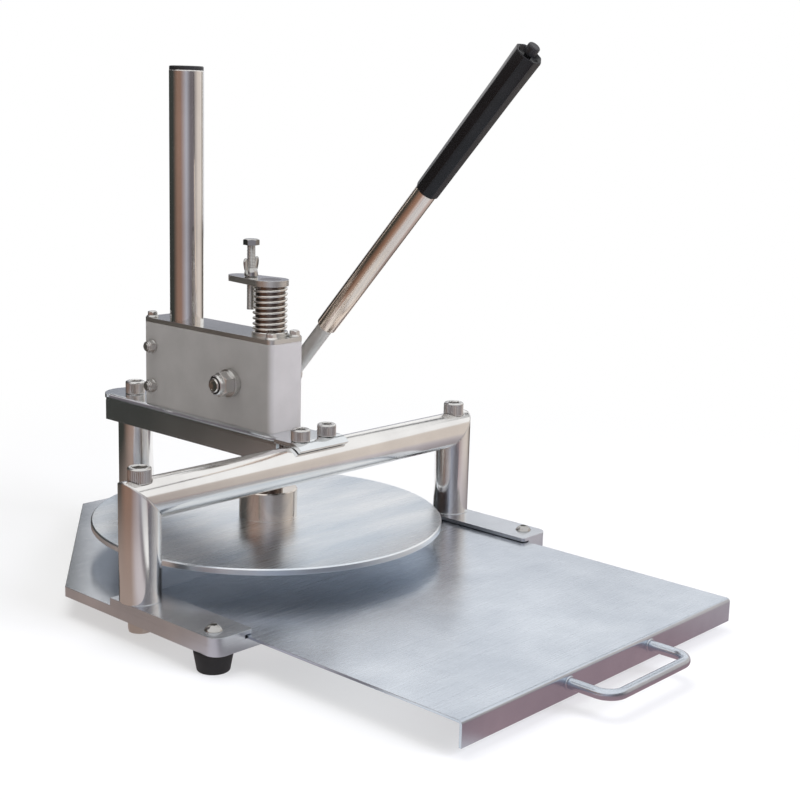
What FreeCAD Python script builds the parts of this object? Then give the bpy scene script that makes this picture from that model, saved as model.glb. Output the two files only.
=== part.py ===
"""Lever-operated dough press with a sliding tray.

A toothed ram, driven by a pinion on the lever shaft, pushes a round plate down
onto a tray that slides in guides on the base plate.  Everything is drawn in
millimetres with the ram axis at x = y = 0 and the top of the base plate at
z = 0; the front of the press, where the tray comes out, is towards -Y.  The
whole press is moved at the end so that its origin is on the surface that it
stands on, in the middle of its box.
"""
import FreeCAD
import Part
import math
import os

Vec = FreeCAD.Vector
X = Vec(1, 0, 0)
Y = Vec(0, 1, 0)
Z = Vec(0, 0, 1)

# ---------------------------------------------------------------- clearances
RUN = 0.05            # radial clearance of a shaft in its bush
GAP = 0.3             # free gap between neighbouring pieces that move
SLIP = 0.2            # radial clearance of a bolt in its hole
SLIDE_SIDE = 1.5      # side play of the tray between the spacers
TRAY_LIFT = 0.2       # tray underside above the base plate
OVER = 1.0            # how far a cutter reaches past what it cuts

# ---------------------------------------------------------------- base plate
BASE_T = 8.0
BASE_HALF_W = 193.3
BASE_FRONT = -157.5
BASE_SHOULDER = 22.0      # where the sides start to taper
BASE_REAR = 205.0
BASE_REAR_HALF_W = 47.0
BASE_CORNER_R = 10.0

# -------------------------------------------------------------- tray guides
SPACER_T = 3.0
SPACER_W = 27.8
STRIP_T = 3.0
STRIP_W = 35.3
STRIP_PAST_LEG = 18.6     # behind the leg's axis
STRIP_CORNER_R = 3.0      # inner front corner

# --------------------------------------------------------------------- feet
FOOT_H = 16.0
FOOT_TOP_R = 15.0
FOOT_LOW_R = 12.0
FOOT_INSET_X = 13.3       # front feet, in from the side of the base
FOOT_INSET_Y = 17.5       # front feet, in from the front of the base
REAR_FOOT_X = 40.0
REAR_FOOT_INSET = 27.0    # rear feet, in from the rear of the base
FOOT_RECESS_R = 8.5
FOOT_RECESS_H = 9.5
FOOT_ROUND = 1.2

# ------------------------------------------------------------- frame members
BAR_R = 16.0              # legs and crossbar
BAR_WALL = 3.0
LEG_INSET = 14.3          # in from the side of the base
LEG_Y = -54.6
CROSSBAR_Z = 83.5         # crossbar axis
SPOT_FACE_DEPTH = 2.5
SPOT_FACE_R = 9.5
CORE_LENGTH = 56.0        # solid core under the tongue bolts
PLUG_LENGTH = 32.0        # solid plugs in the crossbar ends
REAR_LEG_INSET = 20.0     # in from the rear of the base

# -------------------------------------------------------------------- spine
SPINE_W = 50.0
SPINE_T = 3.5
SPINE_DEPTH = 23.0
SPINE_BEND_R = 6.0
SPINE_PAST_LEG = 30.0     # round end of the web, behind the rear leg's axis
FLANGE_SHORT = 18.0       # flanges end this far before the web
FLANGE_FRONT_GAP = 2.6    # from the crossbar to the flanges
TONGUE_FLAT = 3.4         # flat past the crossbar's axis, then the curl
TONGUE_W = 55.0
TONGUE_CURL_R = 13.8
TONGUE_CURL_DEG = 50.0
TONGUE_BOLT_X = 15.0

# ------------------------------------------------------------------ gearbox
BOX_HALF_W = 19.0
BOX_FRONT = -22.0
BOX_LENGTH = 169.0
BOX_H = 75.0
BOX_WALL = 3.0
BOX_FLOOR = 8.0
BOX_CORNER_R = 5.0
BOX_INNER_R = 2.0
COVER_T = 4.0
CORNER_BLOCK = 5.6
CORNER_BLOCK_H = 14.0
BOX_SCREW_X = 9.0
BOX_SCREW_Y = (32.0, 84.0)

# --------------------------------------------------------- ram, rack, pinion
RAM_R = 12.5
MODULE = 2.0
DEDENDUM = 1.25           # root below the pitch line, in modules
PINION_TEETH = 20
PRESSURE_DEG = 20.0
BACKLASH = 0.2
PINION_W = 20.0
PINION_HUB_R = 12.0
RACK_PITCH_Y = 7.0        # pitch line of the rack behind the ram's axis
SHAFT_UP = 36.5           # shaft axis above the gearbox's underside
TRAVEL = 17.0
BUSH_WALL = 2.45
UPPER_BUSH_DEPTH = 12.0   # below the cover
COLLAR_R = 15.3
COLLAR_H = 4.0
COLLAR_EDGE = 0.6
BUSH_LIP_H = 3.0
BUSH_LIP = 0.8
STOP_RING_T = 2.5
STOP_RING_R = 16.5
STOP_RING_SPLIT = 3.0
GROOVE_DEPTH = 1.0
SPIGOT_STEP = 3.0         # spigot on the ram's top, smaller than the ram

# ---------------------------------------------------------------- ram's head
CAP_T = 5.0
CAP_R = 15.5
SPRING_SPACE = 38.4       # collar to cap plate at rest
STOP_BOLT_Y = 24.0
LOBE_PAST_BOLT = 14.0
LOBE_R = 10.0
STOP_BOLT_R = 3.7
STOP_BOLT_UP = 31.7       # head top above the cap plate
STOP_BOLT_DOWN = 23.0     # lower end below the cap plate
STOP_HEAD_H = 5.0
STOP_HEAD_AF = 12.0
STOP_END_BEVEL = 0.8
WING_SPAN = 27.0
WING_H = 16.0
WING_T = 2.2
WING_BOW = 0.32           # size of a wing's round end, as a share of the span
WING_FOOT = 3.0           # width of a wing where it leaves the hub
WING_NUT_R = 6.0
WING_NUT_H = 7.0
WING_NUT_TAPER = 0.8
WING_TURN_DEG = 22.0

# ------------------------------------------------------------------- spring
SPRING_R = 14.9           # outside radius
SPRING_WIRE_R = 1.1
SPRING_TURNS = 9

# --------------------------------------------------------------- press plate
DISC_R = 150.0
DISC_T = 5.0
PRESS_OPENING = 18.5      # tray to plate at rest
DISC_EDGE = 1.0
HUB_R = 25.0
HUB_H = 24.3
HUB_EDGE = 1.0
COUNTERSINK_WALL = 1.0    # straight part of a hole behind its countersink
DISC_SCREWS = 4

# -------------------------------------------------------------------- lever
SHAFT_R = 8.0
BOSS_R = 9.0
BOSS_BEVEL = 1.0
LEVER_OUT = 32.0          # lever axis past the side of the gearbox
BOSS_END = 6.0            # boss past the lever axis
LEVER_DEG = 42.1          # from upright, towards the front
ROD_R = 7.0
TENON_R = 5.0
TENON_SHORT = 0.5         # tenon's end below the far side of the boss
TUBE_START = 64.5         # distances along the lever from the shaft axis
TUBE_R = 9.0
TUBE_WALL = 2.0
TUBE_BEVEL = 0.8
ROD_GRIP = 25.0           # length of the rod inside the tube
GRIP_START = 228.6
GRIP_END = 371.3
GRIP_FACETS = 8
GRIP_LOW_R = 10.3         # over the corners
GRIP_TOP_R = 11.4
GRIP_BEVEL = 1.2
GRIP_CAP = 5.3            # grip past the end of the tube
END_PLUG = 15.0
END_HEAD_R = 5.0
END_HEAD_H = 7.5
END_HEAD_ROUND = 1.5
END_SCREW_SHORT = 2.0     # screw's end before the end of its plug
THREAD_R = 6.0            # shaft's left end, under the washer and nut
WASHER_R = 14.5           # between the gearbox and the boss
WASHER_T = 2.5
NUT_WASHER_R = 12.0       # between the gearbox and the nut
NUT_WASHER_T = 4.5
SHAFT_NUT_AF = 19.0
SHAFT_NUT_H = 14.0
SHAFT_NUT_PROUD = 1.0     # shaft past its nut
NYLON_IN = 2.3            # ring mouth inside the nut's flats
NYLON_H = 2.0
SHAFT_BUSH_R = 10.0
SHAFT_BUSH_LIP_R = 13.0
SHAFT_BUSH_LIP = 3.0
KEY_W = 5.0
KEY_LENGTH = 18.0

# --------------------------------------------------------------- hand pillar
PILLAR_R = 15.0
PILLAR_WALL = 2.0
PILLAR_INSET = 38.0       # axis in from the rear of the gearbox
PILLAR_RISE = 217.0       # above the cover
PILLAR_CAP_H = 3.6
PILLAR_CAP_IN = 0.2       # cap's edge inside the pillar's outside
PILLAR_CAP_ROUND = 1.0
PILLAR_PLUG = 14.0
BLOCK_FRONT_GAP = 3.0     # block face behind the pillar axis
BLOCK_ABOVE_BOLT = 6.0
PILLAR_BOLT_BACK = 24.5   # bolts behind the pillar's axis
PILLAR_BOLT_UP = (18.0, 54.0)

# --------------------------------------------------------------------- tray
TRAY_T = 2.0
TRAY_LENGTH = 322.0       # at rest its rear edge is flush with the guides'
TRAY_FLANGE = 18.6
TRAY_BEND_R = 3.0
HANDLE_R = 4.0
HANDLE_HALF_W = 50.0
HANDLE_REACH = 35.0       # flange face to handle axis
HANDLE_BEND_R = 13.0
HANDLE_DOWN = 8.2         # handle axis below the tray's top

# ---------------------------------------------------------------- fasteners
# shank radius, head radius, head height, hexagon socket across flats, depth
M12_CAP = (6.0, 9.0, 12.0, 10.0, 6.0)
M10_CAP = (5.0, 8.0, 10.0, 8.0, 5.0)
M8_BUTTON = (4.0, 7.0, 4.4, 5.0, 2.6)
M6_CAP = (3.0, 5.0, 6.0, 5.0, 3.0)
# shank radius, flange radius, flange height, across flats, head height
M5_FLANGE = (2.5, 5.5, 1.4, 8.0, 5.3)
# across flats, height
M12_NUT = (18.0, 10.0)
M8_NUT = (13.0, 6.4)
M6_LOCK_NUT = (10.0, 6.0)
M6_HEX_HEAD = (10.0, 4.0)
# outside radius, thickness
M8_WASHER = (8.0, 1.6)
M6_WASHER = (6.0, 1.6)
# thread radius
M8_R = 4.0
M6_R = 3.0
THREAD_PROUD = 1.0        # bolt ends past their nuts, and inside blind holes
HEAD_BEVEL = 0.08         # bevel of a socket head, as a share of its radius
HEX_BEVEL = 0.9           # share of a hexagon's corners that is turned off
HEX_BEVEL_SLOPE = 0.6     # height of that bevel over its width
LOCK_HEX = 0.68           # share of a lock nut's height that is hexagonal
LOCK_COLLAR_IN = 0.4      # its round collar inside the flats
LOCK_ROUND = 0.125        # round of that collar, as a share of the height
DOME_FLAT = 0.3           # cut off the top of a domed head

# ------------------------------------------------------------ derived places
STRIP_TOP = SPACER_T + STRIP_T
LEG_X = BASE_HALF_W - LEG_INSET
REAR_LEG_Y = BASE_REAR - REAR_LEG_INSET
STRIP_REAR = LEG_Y + STRIP_PAST_LEG
FLOOR_Z = -BASE_T - FOOT_H
CROSSBAR_TOP = CROSSBAR_Z + BAR_R
WEB_TOP = CROSSBAR_TOP + SPINE_T
FLANGE_Z = WEB_TOP - SPINE_DEPTH
FLANGE_FRONT = LEG_Y + BAR_R + FLANGE_FRONT_GAP
WEB_UNDER = WEB_TOP - SPINE_T
SPINE_REAR_Y = REAR_LEG_Y + SPINE_PAST_LEG
FLANGE_REAR_Y = SPINE_REAR_Y - FLANGE_SHORT
TONGUE_FLAT_Y = LEG_Y - TONGUE_FLAT
BOX_BOTTOM = WEB_TOP
BOX_REAR = BOX_FRONT + BOX_LENGTH
BOX_INNER_X = BOX_HALF_W - BOX_WALL
BOX_TOP = BOX_BOTTOM + BOX_H
BOX_FLOOR_Z = BOX_BOTTOM + BOX_FLOOR
COVER_TOP = BOX_TOP + COVER_T
COLLAR_TOP = COVER_TOP + COLLAR_H
BUSH_R = RAM_R + RUN + BUSH_WALL
PITCH = math.pi * MODULE
PITCH_R = MODULE * PINION_TEETH / 2
SHAFT_Z = BOX_BOTTOM + SHAFT_UP
SHAFT_Y = RACK_PITCH_Y + PITCH_R
RACK_TIP_Y = RACK_PITCH_Y + MODULE
RACK_ROOT_Y = RACK_PITCH_Y - DEDENDUM * MODULE
PINION_TIP_R = PITCH_R + MODULE
CAP_BOTTOM = COLLAR_TOP + SPRING_SPACE
CAP_TOP = CAP_BOTTOM + CAP_T
LOBE_Y = STOP_BOLT_Y + LOBE_PAST_BOLT
STOP_RING_TOP = WEB_UNDER - GAP
SPACER_IN = BASE_HALF_W - SPACER_W
STRIP_IN = BASE_HALF_W - STRIP_W
TRAY_HALF_W = SPACER_IN - SLIDE_SIDE
TRAY_TOP = TRAY_LIFT + TRAY_T
TRAY_REAR = STRIP_REAR
TRAY_FRONT = TRAY_REAR - TRAY_LENGTH
HANDLE_Z = TRAY_TOP - HANDLE_DOWN
DISC_BOTTOM = TRAY_TOP + PRESS_OPENING
DISC_TOP = DISC_BOTTOM + DISC_T
HUB_TOP = DISC_TOP + HUB_H
HUB_SCREW_Z = DISC_TOP + 0.75 * HUB_H
DISC_SCREW_R = (RAM_R + HUB_R) / 2
PILLAR_Y = BOX_REAR - PILLAR_INSET
PILLAR_TOP = COVER_TOP + PILLAR_RISE
PILLAR_BOLT_Y = PILLAR_Y + PILLAR_BOLT_BACK
PILLAR_BOLT_Z = [BOX_BOTTOM + up for up in PILLAR_BOLT_UP]
LEVER_X = BOX_HALF_W + LEVER_OUT
WASHER_X = BOX_HALF_W + GAP
NUT_X = WASHER_X + NUT_WASHER_T
SHAFT_END = NUT_X + SHAFT_NUT_H + SHAFT_NUT_PROUD
FOOT_SEAT = FLOOR_Z + FOOT_RECESS_H
FOOT_NUT_Z = FOOT_SEAT - M8_WASHER[1] - M8_NUT[1]
FRAME_BOLT_END = -BASE_T - M12_NUT[1] - THREAD_PROUD
FRONT_FEET = [(side * (BASE_HALF_W - FOOT_INSET_X), BASE_FRONT + FOOT_INSET_Y) for side in (-1, 1)]
REAR_FEET = [(side * REAR_FOOT_X, BASE_REAR - REAR_FOOT_INSET) for side in (-1, 1)]
FRAME_BOLTS = [(-LEG_X, LEG_Y), (LEG_X, LEG_Y)]
SPOT_FACE_Z = CROSSBAR_TOP - SPOT_FACE_DEPTH
COVER_SCREWS = [(side * (BOX_HALF_W - BOX_WALL - CORNER_BLOCK / 2), y)
                for side in (-1, 1)
                for y in (BOX_FRONT + BOX_WALL + CORNER_BLOCK / 2,
                          BOX_REAR - BOX_WALL - CORNER_BLOCK / 2)]
PIVOT = Vec(0, SHAFT_Y, SHAFT_Z)
HANDLE_FRONT = TRAY_FRONT - HANDLE_REACH - HANDLE_R


# ------------------------------------------------------------------- helpers
def rod(radius, start, end):
    """Solid round bar between two points."""
    run = end - start
    return Part.makeCylinder(radius, run.Length, start, run)


def upright(radius, x, y, low, high):
    """Solid round bar along Z."""
    return Part.makeCylinder(radius, high - low, Vec(x, y, low))


def block(low, high):
    """Rectangular block between two opposite corners."""
    size = [b - a for a, b in zip(low, high)]
    return Part.makeBox(size[0], size[1], size[2], Vec(*low))


def polygon_prism(points, direction):
    """Straight-sided prism on a flat outline."""
    return Part.Face(Part.makePolygon(points + [points[0]])).extrude(direction)


def hexagon(across_flats, x, y, low, high):
    """Upright hexagonal prism."""
    corner = across_flats / math.sqrt(3)
    points = [Vec(x + corner * math.cos(math.radians(60 * i)),
                  y + corner * math.sin(math.radians(60 * i)), low) for i in range(6)]
    return polygon_prism(points, Z * (high - low))


def chamfered_hexagon(across_flats, x, y, low, high):
    """Hexagonal prism with its corners turned off at both ends."""
    corner = across_flats / math.sqrt(3)
    bevel = (corner - across_flats / 2) * HEX_BEVEL
    turned = upright(corner, x, y, low, high)
    ends = [e for e in turned.Edges if is_circle(e)]
    turned = turned.makeChamfer(bevel * HEX_BEVEL_SLOPE, bevel, ends)
    return hexagon(across_flats, x, y, low, high).common(turned)


def is_circle(edge):
    return isinstance(edge.Curve, Part.Circle)


def upright_edges(shape):
    """Straight edges that run along Z."""
    return [e for e in shape.Edges
            if isinstance(e.Curve, Part.Line) and abs(e.tangentAt(e.FirstParameter).z) > 0.99]


def circles_at(shape, z):
    """Round edges that lie at one height."""
    return [e for e in shape.Edges if is_circle(e) and abs(e.CenterOfMass.z - z) < 0.01]


def arc(centre, radius, start_deg, end_deg, first=Y, second=Z):
    """Arc about a centre; its angles go from the first direction to the second."""
    angles = (start_deg, (start_deg + end_deg) / 2, end_deg)
    points = [centre + first * (radius * math.cos(math.radians(a)))
              + second * (radius * math.sin(math.radians(a))) for a in angles]
    return Part.Arc(*points).toShape()


def line(start, end):
    return Part.LineSegment(start, end).toShape()


def end_line(first, second):
    """Line from the end of one edge to the start of the next."""
    return line(first.Vertexes[-1].Point, second.Vertexes[0].Point)


def fuse_all(shapes):
    return shapes[0].multiFuse(shapes[1:]).removeSplitter() if len(shapes) > 1 else shapes[0]


def group(shapes):
    return Part.makeCompound(shapes)


def mirrored(shape):
    """The same piece on the other side of the press."""
    return shape.mirror(Vec(0, 0, 0), X)


def cap_screw(size, x, y, seat, end):
    """Screw with a socket in a round head; it points down from its seat."""
    shank_r, head_r, head_h, socket, depth = size
    top = seat + head_h
    head = upright(head_r, x, y, seat, top)
    head = head.makeChamfer(HEAD_BEVEL * head_r, circles_at(head, top))
    shank = upright(shank_r, x, y, end, seat + depth / 4)
    return head.fuse(shank).cut(hexagon(socket, x, y, top - depth, top + OVER)).removeSplitter()


def button_screw(size, x, y, seat, end):
    """Screw with a domed head and a socket; it points down from its seat."""
    shank_r, head_r, head_h, socket, depth = size
    top = seat + head_h
    dome_r = (head_r ** 2 + head_h ** 2) / (2 * head_h)
    dome = Part.makeSphere(dome_r, Vec(x, y, top - dome_r))
    head = dome.common(upright(head_r, x, y, seat, top - DOME_FLAT))
    shank = upright(shank_r, x, y, end, seat)
    return head.fuse(shank).cut(hexagon(socket, x, y, top - depth, top + OVER)).removeSplitter()


def flange_screw(size, x, y, seat, end):
    """Screw with a hexagon head on a round flange; it points down from its seat."""
    shank_r, flange_r, flange_h, across_flats, head_h = size
    flange = Part.makeCone(flange_r, across_flats / 2, flange_h, Vec(x, y, seat))
    head = chamfered_hexagon(across_flats, x, y, seat + flange_h / 2, seat + head_h)
    shank = upright(shank_r, x, y, end, seat)
    return fuse_all([flange, head, shank])


def washer(inner_r, outer_r, x, y, low, high):
    return upright(outer_r, x, y, low, high).cut(upright(inner_r, x, y, low - OVER, high + OVER))


def nut(size, bore_r, x, y, low):
    across_flats, height = size
    body = chamfered_hexagon(across_flats, x, y, low, low + height)
    return body.cut(upright(bore_r, x, y, low - OVER, low + height + OVER))


def on_shaft_axis(shape, x, y, z):
    """Turn a piece drawn along +Z at the origin so that it lies along -X at a place."""
    return shape.rotated(Vec(0, 0, 0), Y, -90).translated(Vec(x, y, z))


# ------------------------------------------------------------ base and guides
def base_outline():
    """Half of the base plate's outline, left side, from the front to the rear."""
    return [Vec(-BASE_HALF_W, BASE_FRONT, 0), Vec(-BASE_HALF_W, BASE_SHOULDER, 0),
            Vec(-BASE_REAR_HALF_W, BASE_REAR, 0)]


def base_plate():
    left = base_outline()
    right = [Vec(-p.x, p.y, 0) for p in reversed(left)]
    plate = polygon_prism([p - Z * BASE_T for p in left + right], Z * BASE_T)
    corners = front_corner(plate, -BASE_HALF_W) + front_corner(plate, BASE_HALF_W)
    plate = plate.makeFillet(BASE_CORNER_R, corners)
    holes = [upright(M8_BUTTON[0] + SLIP, x, y, -BASE_T - OVER, OVER) for x, y in FRONT_FEET + REAR_FEET]
    holes += [upright(M12_CAP[0] + SLIP, x, y, -BASE_T - OVER, OVER)
              for x, y in FRAME_BOLTS + [(0, REAR_LEG_Y)]]
    return plate.cut(group(holes))


def front_corner(bar, x):
    """Upright edge at the front of a bar, at one of its sides."""
    return [e for e in upright_edges(bar)
            if abs(e.CenterOfMass.x - x) < 0.01 and abs(e.CenterOfMass.y - BASE_FRONT) < 0.01]


def guide_bar(inner_x, low, high, inner_round):
    """Flat bar along the right side of the base, drilled for the foot screw and the leg bolt."""
    bar = block((inner_x, BASE_FRONT, low), (BASE_HALF_W, STRIP_REAR, high))
    bar = bar.makeFillet(BASE_CORNER_R, front_corner(bar, BASE_HALF_W))
    if inner_round:
        bar = bar.makeFillet(inner_round, front_corner(bar, inner_x))
    screw_x, screw_y = FRONT_FEET[1]
    screw_hole = upright(M8_BUTTON[0] + SLIP, screw_x, screw_y, low - OVER, high + OVER)
    bolt_hole = upright(M12_CAP[0] + SLIP, LEG_X, LEG_Y, low - OVER, high + OVER)
    return bar.cut(screw_hole).cut(bolt_hole)


def foot(x, y):
    top = -BASE_T
    cone = Part.makeCone(FOOT_LOW_R, FOOT_TOP_R, FOOT_H, Vec(x, y, FLOOR_Z))
    cone = cone.makeFillet(FOOT_ROUND, circles_at(cone, FLOOR_Z) + circles_at(cone, top))
    recess = upright(FOOT_RECESS_R, x, y, FLOOR_Z - OVER, FLOOR_Z + FOOT_RECESS_H)
    return cone.cut(recess).cut(upright(M8_R + SLIP, x, y, FLOOR_Z, top + OVER))


def foot_screws(places, seat):
    return group([button_screw(M8_BUTTON, x, y, seat, FOOT_NUT_Z) for x, y in places])


def foot_washers():
    return group([washer(M8_R, M8_WASHER[0], x, y, FOOT_SEAT - M8_WASHER[1], FOOT_SEAT)
                  for x, y in FRONT_FEET + REAR_FEET])


def foot_nuts():
    return group([nut(M8_NUT, M8_R, x, y, FOOT_NUT_Z) for x, y in FRONT_FEET + REAR_FEET])


# -------------------------------------------------------------- frame members
def mitre_cutter():
    """Everything outside and below the right-hand mitre plane."""
    reach = 2 * CROSSBAR_TOP
    corner = Vec(LEG_X, LEG_Y - reach, CROSSBAR_Z)
    low = corner - Vec(reach, 0, reach)
    high = corner + Vec(reach, 0, reach)
    return polygon_prism([low, high, high - Vec(0, 0, 2 * reach)], Y * (2 * reach))


def spot_face():
    return upright(SPOT_FACE_R, LEG_X, LEG_Y, SPOT_FACE_Z, CROSSBAR_TOP + OVER)


def leg_bolt_hole():
    return upright(M12_CAP[0] + SLIP, LEG_X, LEG_Y, 0, CROSSBAR_TOP + OVER)


def portal_leg():
    """Right-hand leg: bored round bar, mitred at the top."""
    bar = upright(BAR_R, LEG_X, LEG_Y, STRIP_TOP, CROSSBAR_TOP)
    return bar.common(mitre_cutter()).cut(leg_bolt_hole()).cut(spot_face())


def crossbar_end_cuts():
    right = fuse_all([mitre_cutter(), leg_bolt_hole(), spot_face()])
    return [right, mirrored(right)]


def portal_crossbar():
    reach = LEG_X + BAR_R
    start, end = Vec(-reach, LEG_Y, CROSSBAR_Z), Vec(reach, LEG_Y, CROSSBAR_Z)
    tube = rod(BAR_R, start, end).cut(rod(BAR_R - BAR_WALL, start, end))
    tube = tube.cut(group(crossbar_end_cuts()))
    return tube.cut(tongue_bolt_holes())


def tongue_bolt_holes():
    low = CROSSBAR_Z - BAR_R + BAR_WALL
    return group([upright(M10_CAP[0], side * TONGUE_BOLT_X, LEG_Y, low, WEB_TOP) for side in (-1, 1)])


def crossbar_core():
    centre = Vec(0, LEG_Y, CROSSBAR_Z)
    half = X * (CORE_LENGTH / 2)
    bar = rod(BAR_R - BAR_WALL, centre - half, centre + half)
    return bar.cut(tongue_bolt_holes())


def crossbar_plugs():
    outer = Vec(LEG_X + BAR_R, LEG_Y, CROSSBAR_Z)
    bar = rod(BAR_R - BAR_WALL, outer - X * PLUG_LENGTH, outer)
    plug = bar.cut(mitre_cutter()).cut(leg_bolt_hole()).cut(spot_face())
    return group([plug, mirrored(plug)])


def rear_leg():
    bar = upright(BAR_R, 0, REAR_LEG_Y, 0, WEB_UNDER)
    return bar.cut(upright(M12_CAP[0] + SLIP, 0, REAR_LEG_Y, -OVER, WEB_TOP))


def frame_nuts():
    places = FRAME_BOLTS + [(0, REAR_LEG_Y)]
    return group([nut(M12_NUT, M12_CAP[0], x, y, -BASE_T - M12_NUT[1]) for x, y in places])


def portal_bolts():
    return group([cap_screw(M12_CAP, x, y, SPOT_FACE_Z, FRAME_BOLT_END) for x, y in FRAME_BOLTS])


def tongue_bolts():
    end = CROSSBAR_Z - BAR_R + BAR_WALL + THREAD_PROUD
    return group([cap_screw(M10_CAP, side * TONGUE_BOLT_X, LEG_Y, WEB_TOP, end) for side in (-1, 1)])


# -------------------------------------------------------------------- spine
def spine_tongue():
    """Front end of the spine's web, curled down over the crossbar."""
    curl = Vec(-TONGUE_W / 2, TONGUE_FLAT_Y, WEB_TOP - TONGUE_CURL_R)
    rear_low = Vec(-TONGUE_W / 2, FLANGE_FRONT, WEB_UNDER)
    rear_high = Vec(-TONGUE_W / 2, FLANGE_FRONT, WEB_TOP)
    end_deg = 90 + TONGUE_CURL_DEG
    outer = arc(curl, TONGUE_CURL_R, 90, end_deg)
    inner = arc(curl, TONGUE_CURL_R - SPINE_T, end_deg, 90)
    edges = [outer, end_line(outer, inner), inner, line(inner.Vertexes[-1].Point, rear_low),
             line(rear_low, rear_high), line(rear_high, outer.Vertexes[0].Point)]
    return Part.Face(Part.Wire(Part.__sortEdges__(edges))).extrude(X * TONGUE_W)


def spine_rear_end():
    """Rear end of the spine's web, fully rounded in plan."""
    half = SPINE_W / 2
    disc = upright(half, 0, SPINE_REAR_Y - half, WEB_UNDER, WEB_TOP)
    return disc.common(block((-half, FLANGE_REAR_Y, WEB_UNDER), (half, SPINE_REAR_Y, WEB_TOP)))


def spine_flanges():
    """Channel part of the spine: an upside-down U with bent corners."""
    half = SPINE_W / 2
    outer = block((-half, FLANGE_FRONT, FLANGE_Z), (half, FLANGE_REAR_Y, WEB_TOP))
    outer = outer.makeFillet(SPINE_BEND_R, top_edges_along_y(outer))
    inner = block((-half + SPINE_T, FLANGE_FRONT, FLANGE_Z - SPINE_T),
                  (half - SPINE_T, FLANGE_REAR_Y, WEB_UNDER))
    inner = inner.makeFillet(SPINE_BEND_R - SPINE_T, top_edges_along_y(inner))
    return outer.cut(inner)


def top_edges_along_y(box):
    top = box.BoundBox.ZMax
    return [e for e in box.Edges
            if abs(e.CenterOfMass.z - top) < 0.01 and abs(e.tangentAt(e.FirstParameter).y) > 0.99]


def spine():
    body = fuse_all([spine_flanges(), spine_tongue(), spine_rear_end()])
    holes = [(M10_CAP[0] + SLIP, side * TONGUE_BOLT_X, LEG_Y) for side in (-1, 1)]
    holes += [(M6_CAP[0] + SLIP, side * BOX_SCREW_X, y) for side in (-1, 1) for y in BOX_SCREW_Y]
    holes += [(M12_CAP[0] + SLIP, 0, REAR_LEG_Y), (BUSH_R, 0, 0)]
    cuts = [upright(radius, x, y, FLANGE_Z, WEB_TOP + OVER) for radius, x, y in holes]
    return body.cut(group(cuts))


# ------------------------------------------------------------------ gearbox
def gearbox_body():
    outer = block((-BOX_HALF_W, BOX_FRONT, BOX_BOTTOM), (BOX_HALF_W, BOX_REAR, BOX_TOP))
    outer = outer.makeFillet(BOX_CORNER_R, upright_edges(outer))
    inner = block((-BOX_INNER_X, BOX_FRONT + BOX_WALL, BOX_FLOOR_Z),
                  (BOX_INNER_X, BOX_REAR - BOX_WALL, BOX_TOP + OVER))
    inner = inner.makeFillet(BOX_INNER_R, upright_edges(inner))
    half = CORNER_BLOCK / 2 + BOX_INNER_R / 4
    blocks = [block((x - half, y - half, BOX_TOP - CORNER_BLOCK_H), (x + half, y + half, BOX_TOP))
              for x, y in COVER_SCREWS]
    body = outer.cut(inner).fuse([b.common(outer) for b in blocks]).removeSplitter()
    low = BOX_TOP - CORNER_BLOCK_H + BOX_INNER_R
    cuts = [upright(M5_FLANGE[0], x, y, low, BOX_TOP + OVER) for x, y in COVER_SCREWS]
    cuts.append(upright(BUSH_R, 0, 0, BOX_BOTTOM - OVER, BOX_FLOOR_Z + OVER))
    cuts.append(rod(SHAFT_BUSH_R, PIVOT - X * 2 * BOX_HALF_W, PIVOT + X * 2 * BOX_HALF_W))
    cuts += pillar_bolt_holes()
    cuts += [upright(M6_CAP[0], side * BOX_SCREW_X, y, BOX_BOTTOM - OVER, BOX_FLOOR_Z + OVER)
             for side in (-1, 1) for y in BOX_SCREW_Y]
    return body.cut(group(cuts))


def pillar_bolt_holes():
    reach = Vec(2 * BOX_HALF_W, 0, 0)
    centres = [Vec(0, PILLAR_BOLT_Y, z) for z in PILLAR_BOLT_Z]
    return [rod(M6_R + SLIP, centre - reach, centre + reach) for centre in centres]


def gearbox_cover():
    plate = block((-BOX_HALF_W, BOX_FRONT, BOX_TOP), (BOX_HALF_W, BOX_REAR, COVER_TOP))
    plate = plate.makeFillet(BOX_CORNER_R, upright_edges(plate))
    cuts = [upright(M5_FLANGE[0] + SLIP, x, y, BOX_TOP - OVER, COVER_TOP + OVER) for x, y in COVER_SCREWS]
    cuts.append(upright(BUSH_R, 0, 0, BOX_TOP - OVER, COVER_TOP + OVER))
    cuts.append(upright(PILLAR_R, 0, PILLAR_Y, BOX_TOP - OVER, COVER_TOP + OVER))
    return plate.cut(group(cuts))


def cover_screws():
    end = BOX_TOP - CORNER_BLOCK_H / 2
    return group([flange_screw(M5_FLANGE, x, y, COVER_TOP, end) for x, y in COVER_SCREWS])


def gearbox_screws():
    """Screws from under the spine into the gearbox floor."""
    screw = cap_screw(M6_CAP, 0, 0, 0, THREAD_PROUD - SPINE_T - BOX_FLOOR)
    turned = screw.rotated(Vec(0, 0, 0), X, 180)
    return group([turned.translated(Vec(side * BOX_SCREW_X, y, WEB_UNDER))
                  for side in (-1, 1) for y in BOX_SCREW_Y])


def lower_ram_bush():
    top = BOX_FLOOR_Z + BUSH_LIP_H
    lip = upright(BUSH_R + BUSH_LIP, 0, 0, BOX_FLOOR_Z, top)
    barrel = upright(BUSH_R, 0, 0, WEB_UNDER, top)
    bore = upright(RAM_R + RUN, 0, 0, WEB_UNDER - OVER, top + OVER)
    return barrel.fuse(lip).removeSplitter().cut(bore)


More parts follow.
